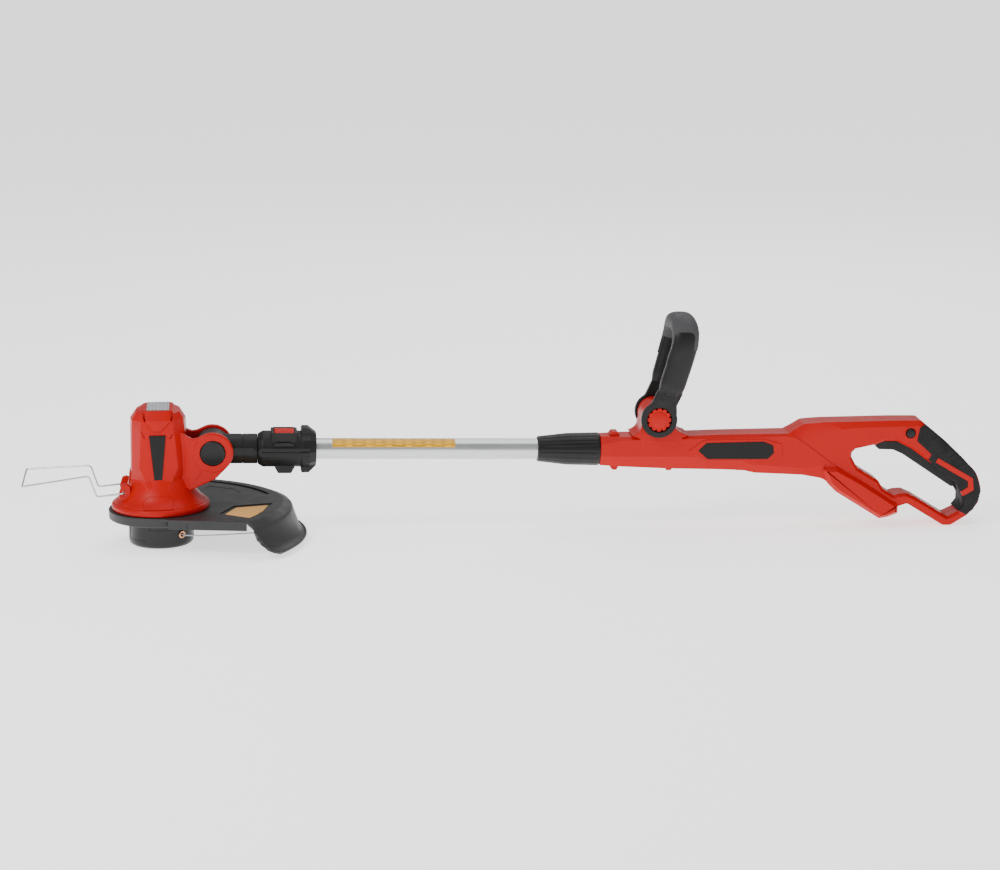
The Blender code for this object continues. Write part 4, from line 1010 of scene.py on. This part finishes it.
def casing_extras():
    """Stop tabs, ribs, the front handle's boss, the badge frame and the flared foot."""
    upper = [(454.8, 10), (455.6, 18.2), (458.6, 21.8), (465.2, 21.8), (467.6, 18.2), (467.6, 10)]
    lower = [(457, -10), (467, -10), (467, -19.6), (464.8, -23.4), (460.2, -23.4), (457, -19.4)]
    pieces = [tab(upper, 8), tab(lower, 8)]
    for a, b in ((522, 530.4), (603.6, 612)):
        pieces.append(tab([(a, -12), (a, -21.6), (a + 1.6, -24), (b - 1.6, -24), (b, -21.6),
            (b, -12)], 7, 0.6))
    flank = arc(BOSS, BOSS_RADIUS, -12, 192, 40)
    flank += [(491, 31), (490.2, 27), (488.2, 23.4), (484.6, 20.8), (480, 19.2), (487.5, 17),
        (491.5, 14), (494.6, 10.4), (532.7, 10.4), (535.8, 14.2), (540, 18), (546.5, 20.2),
        (541, 21.8), (535.4, 24.4), (530.8, 28.4), (528.8, 32)]
    pieces.append(pressed(flank, -HANDLE_HALF - 1.2, 0, 1, 3, 30))
    pieces.append(pressed(arc(BOSS, BOSS_RADIUS - 0.3, 0, 354, 59), -BOSS_HALF, -8, 0.8, 3, 40))
    frame_outline = [(546.5, 1.6), (563.5, 13.6), (568.1, 15), (635.4, 15.9), (656.2, 9.8),
        (656.8, -3.3), (638, -11.2), (565.3, -10)]
    pieces.append(pressed(frame_outline[::-1], -HANDLE_HALF - 0.9, -10, 0.7, 3, 30))
    foot = [(foot_outline(), -0.1), (foot_outline(), -HANDLE_HALF - 0.6),
        (offset(foot_outline(), -4.2), -FOOT_HALF)]
    pieces.append(softened(stacked(foot), 0.7, 2, 20))
    return pieces


TRIGGER_SLOT = [(767.2, -4), (767.2, 12.4), (776, 19), (794, 19), (808, 14), (838, -7),
    (872.5, -32), (872.5, -47), (860, -52), (800, -20)]
CAVITY = [(664, -22), (700, -26), (714, -33.5), (724, -41), (776, -60), (777, -48), (770, -36),
    (744, -22.4), (736.5, -8), (736.5, 1), (742, 6.6), (766, 11.8), (776, 16), (793, 16),
    (812, 7.4), (868, -32.6), (878.2, -54), (878.2, -62), (884, -66), (890.5, -58), (893.4, -45),
    (886.6, -25.4), (848, 8.8), (825, 28), (819, 34.6), (788, 34.6), (706, 32.3), (684.5, 30.8),
    (664.5, 19)]
BADGE = [(558.1, 2), (567.5, 11.2), (634.1, 13), (645.5, 8.5), (646.8, -0.5), (639.5, -7.6),
    (568.9, -7.6)]


def rear_handle():
    solid = join(softened(casing_solid(), 0.6, 2, 18), *casing_extras())
    ring = extruded([arc(LOCK_OFF, 7.8, 0, 354, 59)], -HANDLE_HALF - 0.5, -HANDLE_HALF + 1)
    solid = join(solid, lengthways(426, 452, 15.2), softened(ring, 0.35, 2, 40))
    hollow = extruded([offset(CAVITY, -1.2)], -HANDLE_HALF + 3.8, HANDLE_HALF - 3.4)
    solid = cut(solid, hollow, lengthways(420, 722, TUNNEL_RADIUS),
        extruded([TRIGGER_SLOT], -TRIGGER_HALF - 0.6, TRIGGER_HALF + 0.6),
        crossways(BOSS, -24, -16.5, 14.2, 72), crossways(BOSS, -20, 20, 7.6),
        crossways(LOCK_OFF, -30, 30, 6.1))
    near = near_half(solid)
    far = cut(mirrored(near), *[crossways((u, w), 16, 30, 4.2, 32) for u,
        w in ((700, 0), (730, 20))])
    show("handle_case_near", near, "handle", RED, POLE, "handle_shell_near")
    show("handle_case_far", far, "handle", RED, POLE, "handle_shell_far")
    badge = framed_plate(BADGE[::-1], -HANDLE_HALF - 1.45, -HANDLE_HALF - 0.85)
    show_pair("case_badge", badge, "handle", GLOSS_BLACK, "badge")


GRIP = [(825.6, 33), (850.4, 13.2), (872.6, -7.4), (887.8, -23.4), (893.6, -36), (896, -46),
    (893.8, -57.6), (887.4, -69.2), (878.8, -76), (869, -69.6), (874.2, -63), (874.2, -55.4),
    (865.2, -37.2), (842.6, -20.9), (829.8, -8.6), (832.4, -2.6), (814.6, 13.2), (817.4, 30.4)]


def grip_pad():
    """Overmould that wraps the back of the grip, with slanting ribs near the spine."""
    outline, face = GRIP[::-1], -HANDLE_HALF - 1.7
    pad = stacked([(outline, -0.2), (outline, -HANDLE_HALF + 4), (offset(outline, -0.5), face
        + 2.6), (offset(outline, -1.5), face + 0.8), (offset(outline, -3), face)])
    ribs = []
    for k in range(7):
        t = k / 9
        u, w = 838.0 + 50.0 * t, 19.6 - 42.0 * t - 9.0 * t * t
        back = strip([(u - 8.5, w - 5.6), (u - 2.6, w - 3.9), (u + 1.4, w - 1)], 1.7)
        ribs.append(pressed(back, face - 0.55, face + 4, 0.45, 2, 30))
    panel = [(821.5, 27), (845, 9), (851, 1.5), (838.6, -0.4), (821.4, 14.6)]
    ribs.append(pressed(panel, face - 0.45, face + 2, 0.4, 2, 30))
    slot = extruded([TRIGGER_SLOT], -TRIGGER_HALF - 0.6, TRIGGER_HALF + 0.6)
    return cut(join(pad, *ribs), slot)


STRIPE = [(838.7, -11.5), (841.4, -6), (884.3, -30.4), (886.2, -44.6), (873.2, -52.1),
    (870.4, -46.6), (879, -41), (878.6, -34)]


def grips():
    pad = grip_pad()
    stripe = extruded([rounded([(x, z, 1.2) for x, z in STRIPE[::-1]])], -HANDLE_HALF - 2.1,
        -HANDLE_HALF + 1)
    stripe = softened(stripe, 0.5, 2, 40)
    show_pair("grip_stripe", stripe, "handle", RED_SATIN)
    show_pair("grip_pad", pad, "handle", RUBBER, "grip_cover", sharp=45)


def trigger_outline():
    return rounded([(770.2, 4, 1.5), (773.8, 1, 2), (790.6, 0.6, 6), (802, -4.4, 8),
        (862, -43.4, 2), (869.5, -43, 2), (871, -38, 2), (862, -29.6, 3), (838, -12.6, 0),
        (812, 5.4, 8), (801, 10.8, 6), (791, 11.7, 4), (777, 11.7, 3), (770.6, 8, 2)])


def controls():
    lever = pressed(trigger_outline(), -TRIGGER_HALF, TRIGGER_HALF, 1.5, 4, 35)
    show("trigger_lever", lever, "trigger", BLACK, POLE, "trigger")
    lock = turned([(0, -21.2), (3.6, -21.1), (4.8, -20.6), (5.4, -19.6), (5.5, -18.6), (5.5, 17),
        (0, 17)], axis="Y", at=(LOCK_OFF[0], 0, LOCK_OFF[1]))
    show("lock_off_knob", lock, "lock_off_button", BLACK, POLE, "lock_off_button")


# ---------------------------------------------------------------- front handle
LOOP_SIDE = [(512.5, 25.4, 54), (516.8, 26.6, 63.8), (522.6, 28.6, 79), (527.8, 30.6, 97.7),
    (531.6, 32, 112), (535.2, 33, 128)]
LOOP_TOP = [(536.4, 30, 140.5), (536, 19, 147.8), (535.6, 0, 150)]


def loop_path():
    near = [(u, -y, w) for u, y, w in LOOP_SIDE + LOOP_TOP]
    far = [(u, y, w) for u, y, w in (LOOP_SIDE + LOOP_TOP)[::-1]][1:]
    return smooth_path(near + far, 6)


def leg_widths(place):
    from_end = min(place, 1 - place)
    grow = min(1, max(0, from_end - 0.07) / 0.07)
    grow = grow * grow * (3 - 2 * grow)
    return 11.6 + 3.1 * grow, 3.4 + 6.6 * grow


def loop_sweep(path, widths):
    """Rounded sections along the loop; widths gives half sizes for a point's place."""
    rings, sides, power = [], 36, 2 / 2.6
    last = len(path) - 1
    for i, point in enumerate(path):
        here = Vector(point)
        along = (Vector(path[min(i + 1, last)]) - Vector(path[max(i - 1, 0)])).normalized()
        fore = (Vector((1, 0, 0)) - along * along.x).normalized()
        across = along.cross(fore)
        wide, thick = widths(i / last)
        ring = []
        for k in range(sides):
            c, s = math.cos(math.tau * k / sides), math.sin(math.tau * k / sides)
            ring.append(here + fore * wide * math.copysign(abs(c) ** power, c) + across * thick
                * math.copysign(abs(s) ** power, s))
        rings.append(ring)
    return loft(rings)


def toothed_button():
    teeth, outline = 12, []
    for i in range(teeth):
        middle = 360 * i / teeth
        outline += arc((0, 0), 13.7, middle - 9.6, middle + 9.6, 4)
        outline += arc((0, 0), 11.9, middle + 10.8, middle + 360 / teeth - 10.8, 2)
    disc = extruded([[(BOSS[0] + x, BOSS[1] + z) for x, z in outline]], -27.6, -22.4)
    disc = softened(disc, 0.3, 2, 40)
    profile = [(0, -29), (4.6, -28.8), (8.4, -28.3), (9.4, -27.9), (9.8, -27.2), (9.8, -26),
        (0, -26)]
    dome = turned(profile, axis="Y", at=(BOSS[0], 0, BOSS[1]))
    return join(disc, dome, crossways(BOSS, -8, -23, 7))


def leg_clip():
    """The latch below the moulded grip, and the seam above it, on the near leg."""
    latch = [(509.5, 68), (512.5, 62.5), (523.5, 60.8), (527.5, 64.6), (528.8, 76.4), (511.4, 78.4)]
    tongue = [(513.6, 70), (526.6, 68.4), (528, 79.4), (515, 80.6)]
    return [pressed(latch, -32.4, -24, 0.8, 3, 30), pressed(tongue, -34.6, -26, 0.7, 3, 30)]


def front_handle():
    path = loop_path()
    rim = [(BOSS[0] + x, BOSS[1] + z) for x, z in arc((0, 0), RING_RADIUS, 118, 375, 56)]
    neck = [(530, 50), (529.6, 56.5), (535.4, 69), (536.2, 73), (507.4, 75), (502.6, 63.6)]
    ring = pressed(rim + neck, -RING_OUTER, -22, 1.2, 3, 30)
    clips = leg_clip()
    far_side = [mirrored(piece) for piece in [ring] + clips]
    tools = []
    for side in (-1, 1):
        tools.append(crossways(BOSS, side * 20, side * 36, 14.6, 72))
        tools.append(crossways(BOSS, side * 10, side * 21.9, 24, 72))
    handle = cut(join(loop_sweep(path, leg_widths), ring, *clips, *far_side), *tools)
    show("bail_handle", handle, "front_handle", BLACK, POLE, "front_handle", sharp=40)
    count = len(path)
    first, last = int(count * 0.30), count - int(count * 0.30)
    sleeve = loop_sweep(path[first:last], lambda place: tuple(w + 0.5 for w in leg_widths(0.5)))
    show("bail_grip", sleeve, "front_handle", SOFT_GREY, POLE, "front_grip", sharp=45)
    outline = rounded([(514, 108, 0), (539.6, 106, 0), (543.6, 122, 8), (546, 144.4, 7),
        (523.6, 144.4, 7), (519, 124, 8)])
    cover = common(loop_sweep(path, lambda place: tuple(w + 0.9 for w in leg_widths(0.5))),
        extruded([outline], -60, -31.5))
    show_pair("bail_panel", cover, "front_handle", BLACK)
    knob = toothed_button()
    for side, piece in (("_far", mirrored(knob)), ("_near", knob)):
        body = "handle_button" + side
        show("release_knob" + side, piece, body, RED_SATIN, POLE, body, sharp=40)


# ------------------------------------------------------------------- the rest
def fasteners():
    """Pan-head screws with a cross recess, in place of the plain ones."""
    side = HANDLE_HALF + 0.4
    for node, body, place, at in (("head_screw_1", "head", WORLD, (-18, 31.4, 100)),
            ("head_screw_2", "head", WORLD, (16, 31.4, 100)), ("handle_screw_1", "handle", POLE,
            (700, side, 0)), ("handle_screw_2", "handle", POLE, (730, side, 20))):
        head = turned([(0, 0), (1.6, -0.05), (2.8, -0.5), (3.4, -1.2), (3.4, -2.2), (0, -2.2)],
            steps=40)
        shank = rod((0, 0, -4.6), (0, 0, -1.8), 1.5, sides=20)
        cross = join(box(-2.2, 2.2, -0.45, 0.45, -1.4, 1), box(-0.45, 0.45, -2.2, 2.2, -1.4, 1))
        screw = cut(join(head, shank), cross)
        screw.data.transform(moved(at) @ turned_by(-90, "X"))
        show(node + "_cross", screw, body, STEEL, place, node)


CAD_LOOKS = {"casing": RED, "black": BLACK, "guard": GUARD_GREY, "rubber": RUBBER,
    "soft_grip": SOFT_GREY, "steel": STEEL, "tube": TUBE_METAL, "copper": COPPER, "nylon": NYLON,
    "label": LABEL, "grey_plastic": GREY_PLASTIC}


def paint_cad_nodes():
    for entry in frame["record"]["subparts"]:
        node = frame["nodes"][entry["node"]]
        node.data.materials.clear()
        node.data.materials.append(CAD_LOOKS[entry["material_slot"]])


def studio():
    """Pale floor, soft lights and the camera."""
    bm = bmesh.new()
    bmesh.ops.create_grid(bm, x_segments=1, y_segments=1, size=20.0)
    floor = from_bmesh(bm)
    floor.name = "floor"
    floor.location.z = CAD_BOX[0].z - 0.0005
    material, tree, shader = shader_of("pale_floor", (0.93, 0.93, 0.93), 0.9)
    coords = object_coords(tree)
    mottle(tree, shader, (0.93, 0.93, 0.93), 0.01, coords, 2)
    shader.inputs["Emission Color"].default_value = (1, 1, 1, 1)
    shader.inputs["Emission Strength"].default_value = 1.3
    floor.data.materials.append(material)
    world = bpy.data.worlds.new("studio_light")
    world.use_nodes = True
    world.node_tree.nodes["Background"].inputs["Color"].default_value = (1, 1, 1, 1)
    world.node_tree.nodes["Background"].inputs["Strength"].default_value = 0.42
    bpy.context.scene.world = world
    middle = (CAD_BOX[0] + CAD_BOX[1]) / 2
    for name, place, size, power in (("key", (-1.5, -1.3, 1.7), 0.9, 36),
            ("fill", (1.4, -2.2, 1), 1.8, 5), ("top", (0.2, 0.3, 2.4), 2, 24),
            ("rim", (0.6, 1.8, 1.4), 1.4, 10)):
        light = bpy.data.lights.new(name, "AREA")
        light.size = size
        light.energy = power
        lamp = bpy.data.objects.new(name, light)
        bpy.context.scene.collection.objects.link(lamp)
        lamp.location = middle + Vector(place)
        lamp.rotation_mode = "QUATERNION"
        lamp.rotation_quaternion = (middle - lamp.location).to_track_quat("-Z", "Y")
    camera = bpy.data.objects.new("camera", bpy.data.cameras.new("camera"))
    bpy.context.scene.collection.objects.link(camera)
    camera.location = (0.06583, -3.17294, 0.82228)
    target = Vector((0.3900757, 0, 0.1166372))
    camera.rotation_mode = "QUATERNION"
    camera.rotation_quaternion = (target - camera.location).to_track_quat("-Z", "Y")
    camera.data.lens = 102.086
    camera.data.sensor_width = 36.0
    bpy.context.scene.camera = camera


cutting_line()
studio()
paint_cad_nodes()
head_casing()
head_trim()
guard()
wire_guard()
spool()
tilt_joint()
collar_and_pole()
lock_nut()
rear_handle()
grips()
controls()
front_handle()
fasteners()
